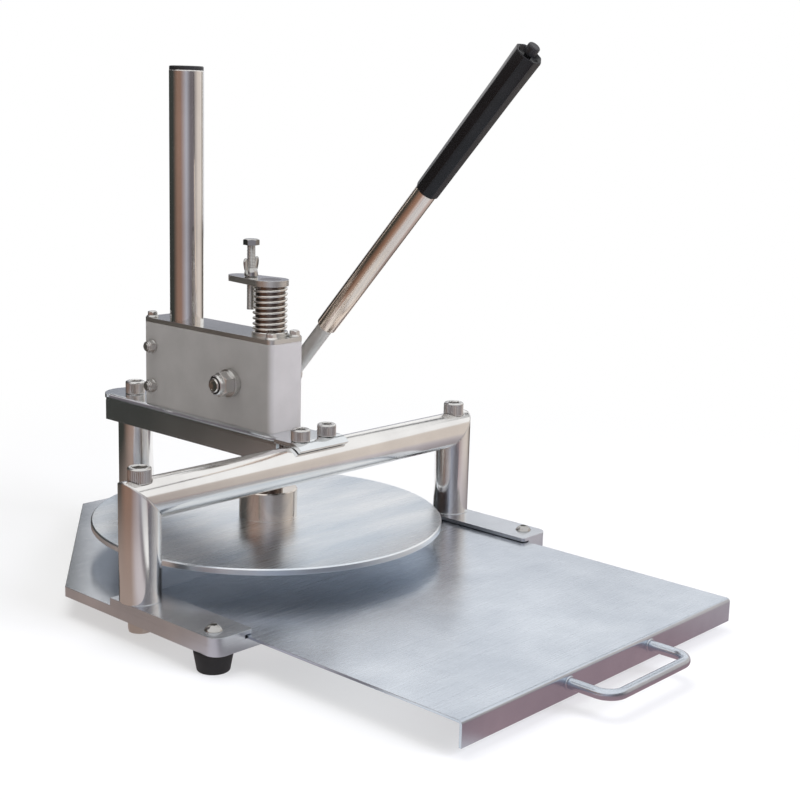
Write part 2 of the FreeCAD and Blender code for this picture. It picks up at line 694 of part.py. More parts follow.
def upper_ram_bush():
    collar = upright(COLLAR_R, 0, 0, COVER_TOP, COLLAR_TOP)
    collar = collar.makeChamfer(COLLAR_EDGE, circles_at(collar, COLLAR_TOP))
    barrel = upright(BUSH_R, 0, 0, BOX_TOP - UPPER_BUSH_DEPTH, COVER_TOP)
    bore = upright(RAM_R + RUN, 0, 0, BOX_BOTTOM, COLLAR_TOP + OVER)
    return barrel.fuse(collar).removeSplitter().cut(bore)


def shaft_bushes():
    """Pair of lipped bushes in the side walls, lips inside."""
    wall_in = PIVOT + X * BOX_INNER_X
    barrel = rod(SHAFT_BUSH_R, wall_in, PIVOT + X * BOX_HALF_W)
    lip = rod(SHAFT_BUSH_LIP_R, wall_in - X * SHAFT_BUSH_LIP, wall_in)
    bush = barrel.fuse(lip).removeSplitter().cut(rod(SHAFT_R + RUN, PIVOT, PIVOT + X * 2 * BOX_HALF_W))
    return group([bush, mirrored(bush)])


# --------------------------------------------------------------- hand pillar
def pillar():
    tube = upright(PILLAR_R, 0, PILLAR_Y, BOX_FLOOR_Z, PILLAR_TOP)
    return tube.cut(upright(PILLAR_R - PILLAR_WALL, 0, PILLAR_Y, BOX_FLOOR_Z - OVER, PILLAR_TOP + OVER))


def pillar_cap():
    top = PILLAR_TOP + PILLAR_CAP_H
    head = upright(PILLAR_R - PILLAR_CAP_IN, 0, PILLAR_Y, PILLAR_TOP, top)
    head = head.makeFillet(PILLAR_CAP_ROUND, circles_at(head, top))
    plug = upright(PILLAR_R - PILLAR_WALL, 0, PILLAR_Y, PILLAR_TOP - PILLAR_PLUG, PILLAR_TOP)
    return head.fuse(plug).removeSplitter()


def pillar_block():
    """Clamp block behind the pillar, hollowed to the pillar's curve."""
    body = block((-BOX_INNER_X, PILLAR_Y + BLOCK_FRONT_GAP, BOX_FLOOR_Z),
                 (BOX_INNER_X, BOX_REAR - BOX_WALL, PILLAR_BOLT_Z[-1] + BLOCK_ABOVE_BOLT))
    rear = [e for e in upright_edges(body) if e.CenterOfMass.y > PILLAR_BOLT_Y]
    body = body.makeChamfer(BOX_INNER_R, rear)
    body = body.cut(upright(PILLAR_R, 0, PILLAR_Y, BOX_FLOOR_Z - OVER, BOX_TOP))
    return body.cut(group(pillar_bolt_holes()))


def pillar_washers():
    ring = washer(M6_R, M6_WASHER[0], 0, 0, 0, M6_WASHER[1])
    rings = []
    for z in PILLAR_BOLT_Z:
        left = on_shaft_axis(ring, -BOX_HALF_W, PILLAR_BOLT_Y, z)
        rings += [left, mirrored(left)]
    return group(rings)


def pillar_bolts():
    """Hexagon bolts from the right, with lock nuts on the left."""
    seat = BOX_HALF_W + M6_WASHER[1]
    across_flats, head_h = M6_HEX_HEAD
    length = 2 * seat + M6_LOCK_NUT[1] + THREAD_PROUD
    head = chamfered_hexagon(across_flats, 0, 0, -head_h, 0)
    bolt = head.fuse(upright(M6_R, 0, 0, -head_h / 2, length)).removeSplitter()
    return group([on_shaft_axis(bolt, seat, PILLAR_BOLT_Y, z) for z in PILLAR_BOLT_Z])


def pillar_nuts():
    body = lock_nut(M6_LOCK_NUT[0], M6_LOCK_NUT[1], M6_R)
    seat = -BOX_HALF_W - M6_WASHER[1]
    return group([on_shaft_axis(body, seat, PILLAR_BOLT_Y, z) for z in PILLAR_BOLT_Z])


def lock_nut(across_flats, height, bore_r):
    """Nut with a round collar for its locking ring, drawn upright on the origin."""
    hex_h = height * LOCK_HEX
    body = chamfered_hexagon(across_flats, 0, 0, 0, hex_h)
    collar = upright(across_flats / 2 - LOCK_COLLAR_IN, 0, 0, hex_h / 2, height)
    collar = collar.makeFillet(height * LOCK_ROUND, circles_at(collar, height))
    return body.fuse(collar).removeSplitter().cut(upright(bore_r, 0, 0, -OVER, height + OVER))


# -------------------------------------------------------------------- lever
def lever_shaft():
    shaft = rod(SHAFT_R, PIVOT - X * WASHER_X, PIVOT + X * WASHER_X)
    thread = rod(THREAD_R, PIVOT - X * SHAFT_END, PIVOT)
    boss = rod(BOSS_R, PIVOT + X * WASHER_X, PIVOT + X * (LEVER_X + BOSS_END))
    outer_rim = [e for e in boss.Edges if is_circle(e) and e.CenterOfMass.x > LEVER_X]
    boss = boss.makeChamfer(BOSS_BEVEL, outer_rim)
    body = fuse_all([shaft, thread, boss])
    cross_hole = along_lever(upright(TENON_R, 0, 0, -BOSS_R - 1, BOSS_R + 1))
    return body.cut(cross_hole).cut(key_shape())


def key_shape():
    """Square key let half into the shaft and half into the pinion."""
    half = KEY_W / 2
    low = Vec(-KEY_LENGTH / 2, SHAFT_Y - half, SHAFT_Z + SHAFT_R - half)
    return block(tuple(low), tuple(low + Vec(KEY_LENGTH, KEY_W, KEY_W)))


def along_lever(shape):
    """Place a piece drawn along +Z from the origin on the lever's axis."""
    placed = shape.translated(Vec(LEVER_X, SHAFT_Y, SHAFT_Z))
    return placed.rotated(PIVOT, X, LEVER_DEG)


def lever_rod():
    bar = upright(ROD_R, 0, 0, 0, TUBE_START + ROD_GRIP)
    bar = bar.cut(rod(BOSS_R, X * (-2 * BOSS_R), X * (2 * BOSS_R)))
    tenon = upright(TENON_R, 0, 0, TENON_SHORT - BOSS_R, BOSS_R + OVER)
    return along_lever(bar.fuse(tenon).removeSplitter())


def lever_tube():
    end = GRIP_END - GRIP_CAP
    tube = upright(TUBE_R, 0, 0, TUBE_START, end)
    tube = tube.makeChamfer(TUBE_BEVEL, circles_at(tube, TUBE_START))
    return along_lever(tube.cut(upright(TUBE_R - TUBE_WALL, 0, 0, TUBE_START - OVER, end + OVER)))


def lever_end_plug():
    end = GRIP_END - GRIP_CAP
    plug = upright(TUBE_R - TUBE_WALL, 0, 0, end - END_PLUG, end)
    return along_lever(plug.cut(upright(M6_CAP[0], 0, 0, end - END_PLUG - OVER, end + OVER)))


def grip_section(radius, z):
    """Regular outline of the grip, with flats square to X and Y."""
    step = 360 / GRIP_FACETS
    angles = [math.radians(step * (i + 0.5)) for i in range(GRIP_FACETS)]
    points = [Vec(radius * math.cos(a), radius * math.sin(a), z) for a in angles]
    return Part.makePolygon(points + [points[0]])


def lever_grip():
    """Tapered, faceted grip with a closed top, pierced for its end screw."""
    ends = [grip_section(GRIP_LOW_R, GRIP_START), grip_section(GRIP_TOP_R, GRIP_END)]
    body = Part.makeLoft(ends, True, True)
    rim = [e for e in body.Edges if all(abs(v.Z - GRIP_END) < 0.01 for v in e.Vertexes)]
    body = body.makeChamfer(GRIP_BEVEL, rim)
    body = body.cut(upright(TUBE_R, 0, 0, GRIP_START - OVER, GRIP_END - GRIP_CAP))
    return along_lever(body.cut(upright(M6_CAP[0], 0, 0, GRIP_START, GRIP_END + OVER)))


def grip_screw():
    top = GRIP_END + END_HEAD_H
    head = upright(END_HEAD_R, 0, 0, GRIP_END, top)
    head = head.makeFillet(END_HEAD_ROUND, circles_at(head, top))
    shank = upright(M6_CAP[0], 0, 0, GRIP_END - GRIP_CAP - END_PLUG + END_SCREW_SHORT, GRIP_END)
    return along_lever(head.fuse(shank).removeSplitter())


def lever_washers():
    """Thrust washers between the gearbox walls and the shaft's nut and boss."""
    left = washer(THREAD_R, NUT_WASHER_R, 0, 0, 0, NUT_WASHER_T)
    left = on_shaft_axis(left, -WASHER_X, SHAFT_Y, SHAFT_Z)
    right = washer(BOSS_R, WASHER_R, 0, 0, 0, WASHER_T)
    right = on_shaft_axis(right, WASHER_X + WASHER_T, SHAFT_Y, SHAFT_Z)
    return group([left, right])


def shaft_nut():
    body = lock_nut(SHAFT_NUT_AF, SHAFT_NUT_H, THREAD_R)
    recess = upright(SHAFT_NUT_AF / 2 - NYLON_IN, 0, 0, SHAFT_NUT_H - NYLON_H, SHAFT_NUT_H + OVER)
    return on_shaft_axis(body.cut(recess), -NUT_X, SHAFT_Y, SHAFT_Z)


def lock_ring():
    """Nylon ring in the mouth of the shaft nut."""
    ring = washer(THREAD_R, SHAFT_NUT_AF / 2 - NYLON_IN, 0, 0, SHAFT_NUT_H - NYLON_H, SHAFT_NUT_H)
    return on_shaft_axis(ring, -NUT_X, SHAFT_Y, SHAFT_Z)


# ----------------------------------------------------------- rack and pinion
def involute(base_r, radius):
    """Polar angle of the involute of a base circle where it reaches a radius."""
    roll = math.sqrt(max(radius ** 2 / base_r ** 2 - 1, 0))
    return roll - math.atan(roll)


def tooth_flank(centre_deg, side, steps=5):
    """Points of one flank from root to tip, in the YZ plane around the origin."""
    base_r = PITCH_R * math.cos(math.radians(PRESSURE_DEG))
    half = (PITCH / 2 - BACKLASH) / (2 * PITCH_R)
    points = []
    for i in range(steps + 1):
        radius = base_r + (PINION_TIP_R - base_r) * i / steps
        turn = half + involute(base_r, PITCH_R) - involute(base_r, radius)
        angle = math.radians(centre_deg) + side * turn
        points.append(Vec(0, radius * math.cos(angle), radius * math.sin(angle)))
    root_r = PITCH_R - DEDENDUM * MODULE
    foot_angle = math.radians(centre_deg) + side * (half + involute(base_r, PITCH_R))
    return [Vec(0, root_r * math.cos(foot_angle), root_r * math.sin(foot_angle))] + points


def pinion():
    """Spur pinion with one tooth pointing at the rack."""
    outline = []
    for tooth in range(PINION_TEETH):
        centre = 360.0 * tooth / PINION_TEETH
        outline += tooth_flank(centre, -1)
        outline += list(reversed(tooth_flank(centre, 1)))
    start = PIVOT - X * (PINION_W / 2)
    gear = polygon_prism([p + start for p in outline], X * PINION_W)
    hub_half = BOX_INNER_X - SHAFT_BUSH_LIP - GAP
    hub = rod(PINION_HUB_R, PIVOT - X * hub_half, PIVOT + X * hub_half)
    bore = rod(SHAFT_R, PIVOT - X * BOX_HALF_W, PIVOT + X * BOX_HALF_W)
    return gear.fuse(hub).removeSplitter().cut(bore).cut(key_shape())


def rack_cut():
    """Material taken off the back of the ram: a flat with tooth gaps in it."""
    reach = math.sqrt((PINION_TIP_R + GAP) ** 2 - (SHAFT_Y - RAM_R) ** 2)
    low, high = SHAFT_Z - reach, SHAFT_Z + reach + TRAVEL
    flat = block((-RAM_R - OVER, RACK_TIP_Y, low), (RAM_R + OVER, RAM_R + OVER, high))
    slope = math.tan(math.radians(PRESSURE_DEG))
    half_tip = PITCH / 4 + BACKLASH / 2 + MODULE * slope
    half_root = PITCH / 4 + BACKLASH / 2 - DEDENDUM * MODULE * slope
    first = math.ceil((low + half_tip - SHAFT_Z) / PITCH)
    last = math.floor((high - half_tip - SHAFT_Z) / PITCH)
    gaps = []
    for i in range(first, last + 1):
        z = SHAFT_Z + i * PITCH
        spread = half_tip + OVER * slope
        profile = [(RACK_ROOT_Y, z - half_root), (RACK_TIP_Y + OVER, z - spread),
                   (RACK_TIP_Y + OVER, z + spread), (RACK_ROOT_Y, z + half_root)]
        points = [Vec(-RAM_R - OVER, y, height) for y, height in profile]
        gaps.append(polygon_prism(points, X * (2 * (RAM_R + OVER))))
    return fuse_all([flat] + gaps)


def ram():
    bar = upright(RAM_R, 0, 0, DISC_TOP, CAP_BOTTOM)
    spigot = upright(RAM_R - SPIGOT_STEP, 0, 0, CAP_BOTTOM - OVER, CAP_TOP)
    groove = washer(RAM_R - GROOVE_DEPTH, RAM_R + OVER, 0, 0, STOP_RING_TOP - STOP_RING_T, STOP_RING_TOP)
    centre_hole = upright(M10_CAP[0], 0, 0, DISC_TOP - OVER, HUB_TOP)
    return bar.fuse(spigot).removeSplitter().cut(rack_cut()).cut(groove).cut(centre_hole)


def ram_stop_ring():
    """Split ring in the ram's groove; it meets the lower bush at the top of the stroke."""
    low = STOP_RING_TOP - STOP_RING_T
    ring = washer(RAM_R - GROOVE_DEPTH, STOP_RING_R, 0, 0, low, STOP_RING_TOP)
    half = STOP_RING_SPLIT / 2
    return ring.cut(block((-half, -STOP_RING_R - OVER, low - OVER), (half, 0, STOP_RING_TOP + OVER)))


def cap_plate():
    """Plate on the ram's top with a lobe to the rear that holds the stop bolt."""
    big = Part.makeCircle(CAP_R, Vec(0, 0, CAP_BOTTOM))
    small = Part.makeCircle(LOBE_R, Vec(0, LOBE_Y, CAP_BOTTOM))
    lean = math.asin((CAP_R - LOBE_R) / LOBE_Y)
    reach, rise = math.cos(lean), math.sin(lean)
    ends = ((-1, CAP_R, 0), (-1, LOBE_R, LOBE_Y), (1, LOBE_R, LOBE_Y), (1, CAP_R, 0))
    corners = [Vec(side * radius * reach, y + radius * rise, CAP_BOTTOM) for side, radius, y in ends]
    discs = [Part.Face(Part.Wire(c)).extrude(Z * CAP_T) for c in (big, small)]
    plate = fuse_all(discs + [polygon_prism(corners, Z * CAP_T)])
    bores = [upright(RAM_R - SPIGOT_STEP, 0, 0, CAP_BOTTOM - OVER, CAP_TOP + OVER),
             upright(STOP_BOLT_R + RUN, 0, STOP_BOLT_Y, CAP_BOTTOM - OVER, CAP_TOP + OVER)]
    return plate.cut(group(bores))


def stop_bolt():
    head_top = CAP_TOP + STOP_BOLT_UP
    head_low = head_top - STOP_HEAD_H
    end = CAP_BOTTOM - STOP_BOLT_DOWN
    head = chamfered_hexagon(STOP_HEAD_AF, 0, STOP_BOLT_Y, head_low, head_top)
    shank = upright(STOP_BOLT_R, 0, STOP_BOLT_Y, end, head_low + STOP_HEAD_H / 2)
    shank = shank.makeChamfer(STOP_END_BEVEL, circles_at(shank, end))
    return head.fuse(shank).removeSplitter()


def wing_nut():
    """Nut with two upright wings, clamping the stop bolt."""
    low = CAP_TOP + GAP
    high = low + WING_NUT_H
    hub = Part.makeCone(WING_NUT_R, WING_NUT_R - WING_NUT_TAPER, WING_NUT_H, Vec(0, 0, low))
    inner = (STOP_BOLT_R + WING_NUT_R) / 2
    outer = WING_SPAN / 2
    foot_low = low + WING_NUT_TAPER
    wing_r = WING_BOW * WING_SPAN
    tip = Vec(outer - wing_r / 2, -WING_T / 2, low + WING_H - wing_r / 2)
    points = [Vec(inner, -WING_T / 2, foot_low), Vec(inner + WING_FOOT, -WING_T / 2, foot_low),
              tip + Vec(wing_r / 2, 0, -wing_r / 2), tip + Vec(wing_r / 2, 0, wing_r / 4),
              tip + Vec(wing_r / 4, 0, wing_r / 2), tip + Vec(-wing_r / 4, 0, wing_r / 2),
              Vec(inner, -WING_T / 2, high)]
    wing = polygon_prism(points, Y * WING_T)
    other = wing.mirror(Vec(0, 0, 0), X)
    body = fuse_all([hub, wing, other])
    bore = upright(STOP_BOLT_R + RUN, 0, 0, low - OVER, low + WING_H + OVER)
    turned = body.cut(bore).rotated(Vec(0, 0, 0), Z, WING_TURN_DEG)
    return turned.translated(Vec(0, STOP_BOLT_Y, 0))


def return_spring():
    """Round wire wound between the bush's collar and the cap plate."""
    coil_r = SPRING_R - SPRING_WIRE_R
    low = COLLAR_TOP + GAP + SPRING_WIRE_R
    high = CAP_BOTTOM - GAP - SPRING_WIRE_R
    pitch = (high - low) / SPRING_TURNS
    path = Part.makeHelix(pitch, high - low, coil_r)
    section = Part.Wire(Part.makeCircle(SPRING_WIRE_R, Vec(coil_r, 0, 0), Vec(0, 1, 0)))
    wire = Part.Wire(path).makePipeShell([section], True, True)
    return Part.Solid(wire).translated(Z * low)


def press_disc():
    plate = upright(DISC_R, 0, 0, DISC_BOTTOM, DISC_TOP)
    plate = plate.makeChamfer(DISC_EDGE, circles_at(plate, DISC_TOP))
    places = disc_screw_places() + [(0, 0)]
    return plate.cut(group([countersink_bore(x, y) for x, y in places]))


def disc_screw_places():
    turn = 2 * math.pi / DISC_SCREWS
    return [(DISC_SCREW_R * math.cos((i + 0.5) * turn), DISC_SCREW_R * math.sin((i + 0.5) * turn))
            for i in range(DISC_SCREWS)]


def countersink_radius(x, y):
    return M10_CAP[0] if (x, y) == (0, 0) else M6_CAP[0]


def countersink_bore(x, y):
    shank = countersink_radius(x, y)
    head = min(2 * shank, shank + DISC_T - COUNTERSINK_WALL)
    cone = Part.makeCone(head, shank, head - shank, Vec(x, y, DISC_BOTTOM))
    return cone.fuse(upright(shank, x, y, DISC_BOTTOM, DISC_TOP + OVER))


def countersunk_screw(x, y, end):
    shank = countersink_radius(x, y)
    head = min(2 * shank, shank + DISC_T - COUNTERSINK_WALL)
    cone = Part.makeCone(head, shank, head - shank, Vec(x, y, DISC_BOTTOM))
    body = cone.fuse(upright(shank, x, y, DISC_BOTTOM + OVER, end)).removeSplitter()
    return body.cut(hexagon(shank, x, y, DISC_BOTTOM - OVER, DISC_BOTTOM + shank / 2))


def disc_screws():
    end = (DISC_TOP + HUB_TOP) / 2
    return group([countersunk_screw(x, y, end) for x, y in disc_screw_places()])


def ram_screw():
    return countersunk_screw(0, 0, HUB_TOP - THREAD_PROUD)


def disc_hub():
    hub = upright(HUB_R, 0, 0, DISC_TOP, HUB_TOP)
    hub = hub.makeChamfer(HUB_EDGE, circles_at(hub, HUB_TOP))
    screw_end = (DISC_TOP + HUB_TOP) / 2
    cuts = [upright(M6_CAP[0], x, y, DISC_TOP - OVER, screw_end + OVER) for x, y in disc_screw_places()]
    cuts.append(upright(RAM_R, 0, 0, DISC_TOP - OVER, HUB_TOP + OVER))
    cuts.append(rod(M8_R, Vec(0, 0, HUB_SCREW_Z), Vec(0, HUB_R + OVER, HUB_SCREW_Z)))
    return hub.cut(group(cuts))


def hub_set_screw():
    """Headless screw through the hub against the back of the ram."""
    outer = HUB_R - THREAD_PROUD
    body = rod(M8_R, Vec(0, RAM_R, HUB_SCREW_Z), Vec(0, outer, HUB_SCREW_Z))
    socket = hexagon(M8_R, 0, 0, 0, M8_R).rotated(Vec(0, 0, 0), X, -90)
    body = body.cut(socket.translated(Vec(0, outer - M8_R + OVER, HUB_SCREW_Z)))
    return body.cut(upright(RAM_R, 0, 0, DISC_TOP, HUB_TOP))


# --------------------------------------------------------------------- tray
def tray():
    """Flat sheet with its front edge bent down."""
    inner_r = TRAY_BEND_R - TRAY_T
    bend = Vec(-TRAY_HALF_W, TRAY_FRONT + TRAY_BEND_R, TRAY_TOP - TRAY_BEND_R)
    low = TRAY_TOP - TRAY_FLANGE
    outer = arc(bend, TRAY_BEND_R, 90, 180)
    inner = arc(bend, inner_r, 180, 90)
    flange = [outer.Vertexes[-1].Point, Vec(-TRAY_HALF_W, TRAY_FRONT, low),
              Vec(-TRAY_HALF_W, TRAY_FRONT + TRAY_T, low), inner.Vertexes[0].Point]
    sheet = [inner.Vertexes[-1].Point, Vec(-TRAY_HALF_W, TRAY_REAR, TRAY_LIFT),
             Vec(-TRAY_HALF_W, TRAY_REAR, TRAY_TOP), outer.Vertexes[0].Point]
    edges = [outer, inner]
    for corners in (flange, sheet):
        edges += [line(a, b) for a, b in zip(corners, corners[1:])]
    return Part.Face(Part.Wire(Part.__sortEdges__(edges))).extrude(X * (2 * TRAY_HALF_W))


def tray_handle():
    """Bent round bar, butted square to the tray's flange."""
    back = TRAY_FRONT
    front = TRAY_FRONT - HANDLE_REACH
    r = HANDLE_BEND_R
    w = HANDLE_HALF_W
    z = HANDLE_Z
    left = arc(Vec(-w + r, front + r, z), r, 180, 270, X, Y)
    right = arc(Vec(w - r, front + r, z), r, 270, 360, X, Y)
    edges = [line(Vec(-w, back, z), Vec(-w, front + r, z)), left,
             line(Vec(-w + r, front, z), Vec(w - r, front, z)), right,
             line(Vec(w, front + r, z), Vec(w, back, z))]
    path = Part.Wire(Part.__sortEdges__(edges))
    section = Part.Wire(Part.makeCircle(HANDLE_R, Vec(-w, back, z), Y))
    return Part.Solid(path.makePipeShell([section], True, True))


# ----------------------------------------------------------------- assembly
def nodes():
    """Every named piece of the press, in its place at rest."""
    strip = guide_bar(STRIP_IN, SPACER_T, STRIP_TOP, STRIP_CORNER_R)
    spacer = guide_bar(SPACER_IN, 0, SPACER_T, 0)
    leg = portal_leg()
    return {
        "base_plate": base_plate(),
        "guide_strip_left": mirrored(strip),
        "guide_strip_right": strip,
        "guide_spacer_left": mirrored(spacer),
        "guide_spacer_right": spacer,
        "rubber_feet": group([foot(x, y) for x, y in FRONT_FEET + REAR_FEET]),
        "front_foot_screws": foot_screws(FRONT_FEET, STRIP_TOP),
        "rear_foot_screws": foot_screws(REAR_FEET, 0),
        "foot_washers": foot_washers(),
        "foot_nuts": foot_nuts(),
        "portal_leg_left": mirrored(leg),
        "portal_leg_right": leg,
        "portal_crossbar": portal_crossbar(),
        "crossbar_core": crossbar_core(),
        "crossbar_plugs": crossbar_plugs(),
        "portal_bolts": portal_bolts(),
        "rear_leg": rear_leg(),
        "rear_leg_bolt": cap_screw(M12_CAP, 0, REAR_LEG_Y, WEB_TOP, FRAME_BOLT_END),
        "frame_nuts": frame_nuts(),
        "tongue_bolts": tongue_bolts(),
        "spine": spine(),
        "gearbox_body": gearbox_body(),
        "gearbox_cover": gearbox_cover(),
        "cover_screws": cover_screws(),
        "gearbox_screws": gearbox_screws(),
        "lower_ram_bush": lower_ram_bush(),
        "upper_ram_bush": upper_ram_bush(),
        "shaft_bushes": shaft_bushes(),
        "pillar": pillar(),
        "pillar_cap": pillar_cap(),
        "pillar_block": pillar_block(),
        "pillar_bolts": pillar_bolts(),
        "pillar_nuts": pillar_nuts(),
        "pillar_washers": pillar_washers(),
        "return_spring": return_spring(),
        "lever_shaft": lever_shaft(),
        "shaft_key": key_shape(),
        "pinion": pinion(),
        "lever_washers": lever_washers(),
        "shaft_nut": shaft_nut(),
        "lock_ring": lock_ring(),
        "lever_rod": lever_rod(),
        "lever_tube": lever_tube(),
        "lever_end_plug": lever_end_plug(),
        "lever_grip": lever_grip(),
        "grip_screw": grip_screw(),
        "ram": ram(),
        "ram_stop_ring": ram_stop_ring(),
        "cap_plate": cap_plate(),
        "press_disc": press_disc(),
        "disc_hub": disc_hub(),
        "disc_screws": disc_screws(),
        "ram_screw": ram_screw(),
        "hub_set_screw": hub_set_screw(),
        "stop_bolt": stop_bolt(),
        "wing_nut": wing_nut(),
        "tray": tray(),
        "tray_handle": tray_handle(),
    }


def main():
    os.makedirs("parts", exist_ok=True)
    to_origin = Vec(0, -(HANDLE_FRONT + SPINE_REAR_Y) / 2, -FLOOR_Z)
    for name, shape in nodes().items():
        placed = shape.translated(to_origin)
        solids = placed.Solids
        if not solids or not placed.isValid():
            raise RuntimeError(f"{name} isn't a valid solid")
        piece = solids[0] if len(solids) == 1 else Part.makeCompound(solids)
        piece.exportStep(f"parts/{name}.step")
        print(f"{name:20s} solids {len(solids):2d}  volume {placed.Volume:12.1f}")


main()
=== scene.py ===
"""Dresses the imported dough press: finishes, detailed fasteners, spring, grip, stage and camera."""

import math

import bmesh
import bpy
from mathutils import Matrix, Vector


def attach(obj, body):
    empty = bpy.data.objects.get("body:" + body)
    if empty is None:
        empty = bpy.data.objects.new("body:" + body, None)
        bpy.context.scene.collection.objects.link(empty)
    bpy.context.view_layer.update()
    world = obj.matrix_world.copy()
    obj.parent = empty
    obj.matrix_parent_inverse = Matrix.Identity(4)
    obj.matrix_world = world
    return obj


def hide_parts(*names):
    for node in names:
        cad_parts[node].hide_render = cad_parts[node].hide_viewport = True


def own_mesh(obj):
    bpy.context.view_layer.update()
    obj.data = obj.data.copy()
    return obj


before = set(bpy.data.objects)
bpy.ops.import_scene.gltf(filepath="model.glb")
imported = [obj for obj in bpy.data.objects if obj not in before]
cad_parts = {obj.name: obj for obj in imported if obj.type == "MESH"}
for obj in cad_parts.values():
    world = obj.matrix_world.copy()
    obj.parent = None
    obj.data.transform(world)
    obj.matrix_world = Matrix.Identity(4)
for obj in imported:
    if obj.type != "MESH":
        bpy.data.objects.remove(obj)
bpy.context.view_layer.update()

MM = 0.001
UP = Vector((0, 0, 1))
ORIGIN = Vector((0, 0, 0))
PART_Y = 91  # where the origin of part.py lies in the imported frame, in mm
PART_Z = 24


def at(x, y, z):
    """A point of part.py, given in its millimetres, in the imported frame."""
    return Vector((x, y + PART_Y, z + PART_Z)) * MM


def linear(red, green, blue):
    """A colour written as 0 to 255 on the screen, as the shader wants it: the sRGB curve undone."""
    channels = []
    for value in (red, green, blue):
        share = value / 255
        channels.append(share / 12.92 if share <= 0.04045 else ((share + 0.055) / 1.055) ** 2.4)
    return (*channels, 1.0)


# ---------------------------------------------------------------- finishes

NOISE_LOW = 0.3  # the middle range of Blender's noise, which seldom leaves it
NOISE_HIGH = 0.7
BEVEL_SAMPLES = 6


class Finish:
    """A material under construction: its node tree, its shader and a few ways to add to them."""

    def __init__(self, name):
        self.material = bpy.data.materials.new(name)
        self.material.use_nodes = True
        self.tree = self.material.node_tree
        self.shader = self.tree.nodes["Principled BSDF"]
        self.place = self.add("ShaderNodeTexCoord").outputs["Object"]

    def add(self, kind, **settings):
        node = self.tree.nodes.new(kind)
        for key, value in settings.items():
            setattr(node, key, value)
        return node

    def join(self, output, socket):
        self.tree.links.new(output, socket)

    def grain(self, size, detail=3.0):
        """Noise whose features measure size (x, y, z) in metres."""
        mapping = self.add("ShaderNodeMapping", vector_type="TEXTURE")
        mapping.inputs["Scale"].default_value = size
        noise = self.add("ShaderNodeTexNoise")
        noise.inputs["Scale"].default_value = 1.0
        noise.inputs["Detail"].default_value = detail
        self.join(self.place, mapping.inputs["Vector"])
        self.join(mapping.outputs["Vector"], noise.inputs["Vector"])
        return noise.outputs["Fac"]

    def spread(self, factor, low, high):
        """The noise's middle range drawn out from low to high."""
        span = self.add("ShaderNodeMapRange")
        span.inputs["From Min"].default_value = NOISE_LOW
        span.inputs["From Max"].default_value = NOISE_HIGH
        span.inputs["To Min"].default_value = low
        span.inputs["To Max"].default_value = high
        self.join(factor, span.inputs["Value"])
        return span.outputs["Result"]

    def tint(self, factor, dark, light):
        """Base colour between two colours."""
        mix = self.add("ShaderNodeMix", data_type="RGBA")
        mix.inputs["A"].default_value = dark
        mix.inputs["B"].default_value = light
        self.join(self.spread(factor, 0.0, 1.0), mix.inputs["Factor"])
        self.join(mix.outputs["Result"], self.shader.inputs["Base Color"])

    def rough(self, factor, low, high, sides):
        """Roughness from low to high on level faces, and the given one on upright faces."""
        facing = self.add("ShaderNodeSeparateXYZ")
        self.join(self.add("ShaderNodeTexCoord").outputs["Normal"], facing.inputs["Vector"])
        level = self.add("ShaderNodeMath", operation="ABSOLUTE")
        self.join(facing.outputs["Z"], level.inputs[0])
        mix = self.add("ShaderNodeMix", data_type="FLOAT")
        mix.inputs["A"].default_value = sides
        self.join(level.outputs["Value"], mix.inputs["Factor"])
        self.join(self.spread(factor, low, high), mix.inputs["B"])
        self.join(mix.outputs["Result"], self.shader.inputs["Roughness"])

    def relief(self, factor, depth, edge):
        """Bump of that depth in metres, with sharp edges shaded as if rounded by edge metres."""
        bump = self.add("ShaderNodeBump")
        rounded = self.add("ShaderNodeBevel", samples=BEVEL_SAMPLES)
        rounded.inputs["Radius"].default_value = edge
        self.join(rounded.outputs["Normal"], bump.inputs["Normal"])
        bump.inputs["Strength"].default_value = 1.0
        bump.inputs["Distance"].default_value = depth
        self.join(factor, bump.inputs["Height"])
        self.join(bump.outputs["Normal"], self.shader.inputs["Normal"])


STEEL_CLOUD = (0.06, 0.06, 0.06)  # size in metres of the soft patches in a colour
COAT_CLOUD = (0.02, 0.02, 0.02)
CLOUD_DETAIL = 4.0
SKIN_DETAIL = 2.0


def steel(name, dark, light, roughness, line, depth, sides=None, edge=0.0005, cloud=STEEL_CLOUD):
    """Brushed or polished steel: fine lines in the size `line`, soft clouds in the colour."""
    finish = Finish(name)
    finish.shader.inputs["Metallic"].default_value = 1.0
    lines = finish.grain(line)
    finish.tint(finish.grain(cloud, detail=CLOUD_DETAIL), linear(*dark), linear(*light))
    finish.rough(lines, roughness[0], roughness[1], sides or sum(roughness) / 2)
    finish.relief(lines, depth, edge)
    return finish.material


def coat(name, dark, light, roughness, size, depth, sheen=0.5, edge=0.0006):
    """Paint, plastic or rubber with a fine skin."""
    finish = Finish(name)
    finish.shader.inputs["Specular IOR Level"].default_value = sheen
    skin = finish.grain((size, size, size), detail=SKIN_DETAIL)
    finish.tint(finish.grain(COAT_CLOUD, detail=CLOUD_DETAIL), linear(*dark), linear(*light))
    finish.rough(skin, roughness[0], roughness[1], sum(roughness) / 2)
    finish.relief(skin, depth, edge)
    return finish.material


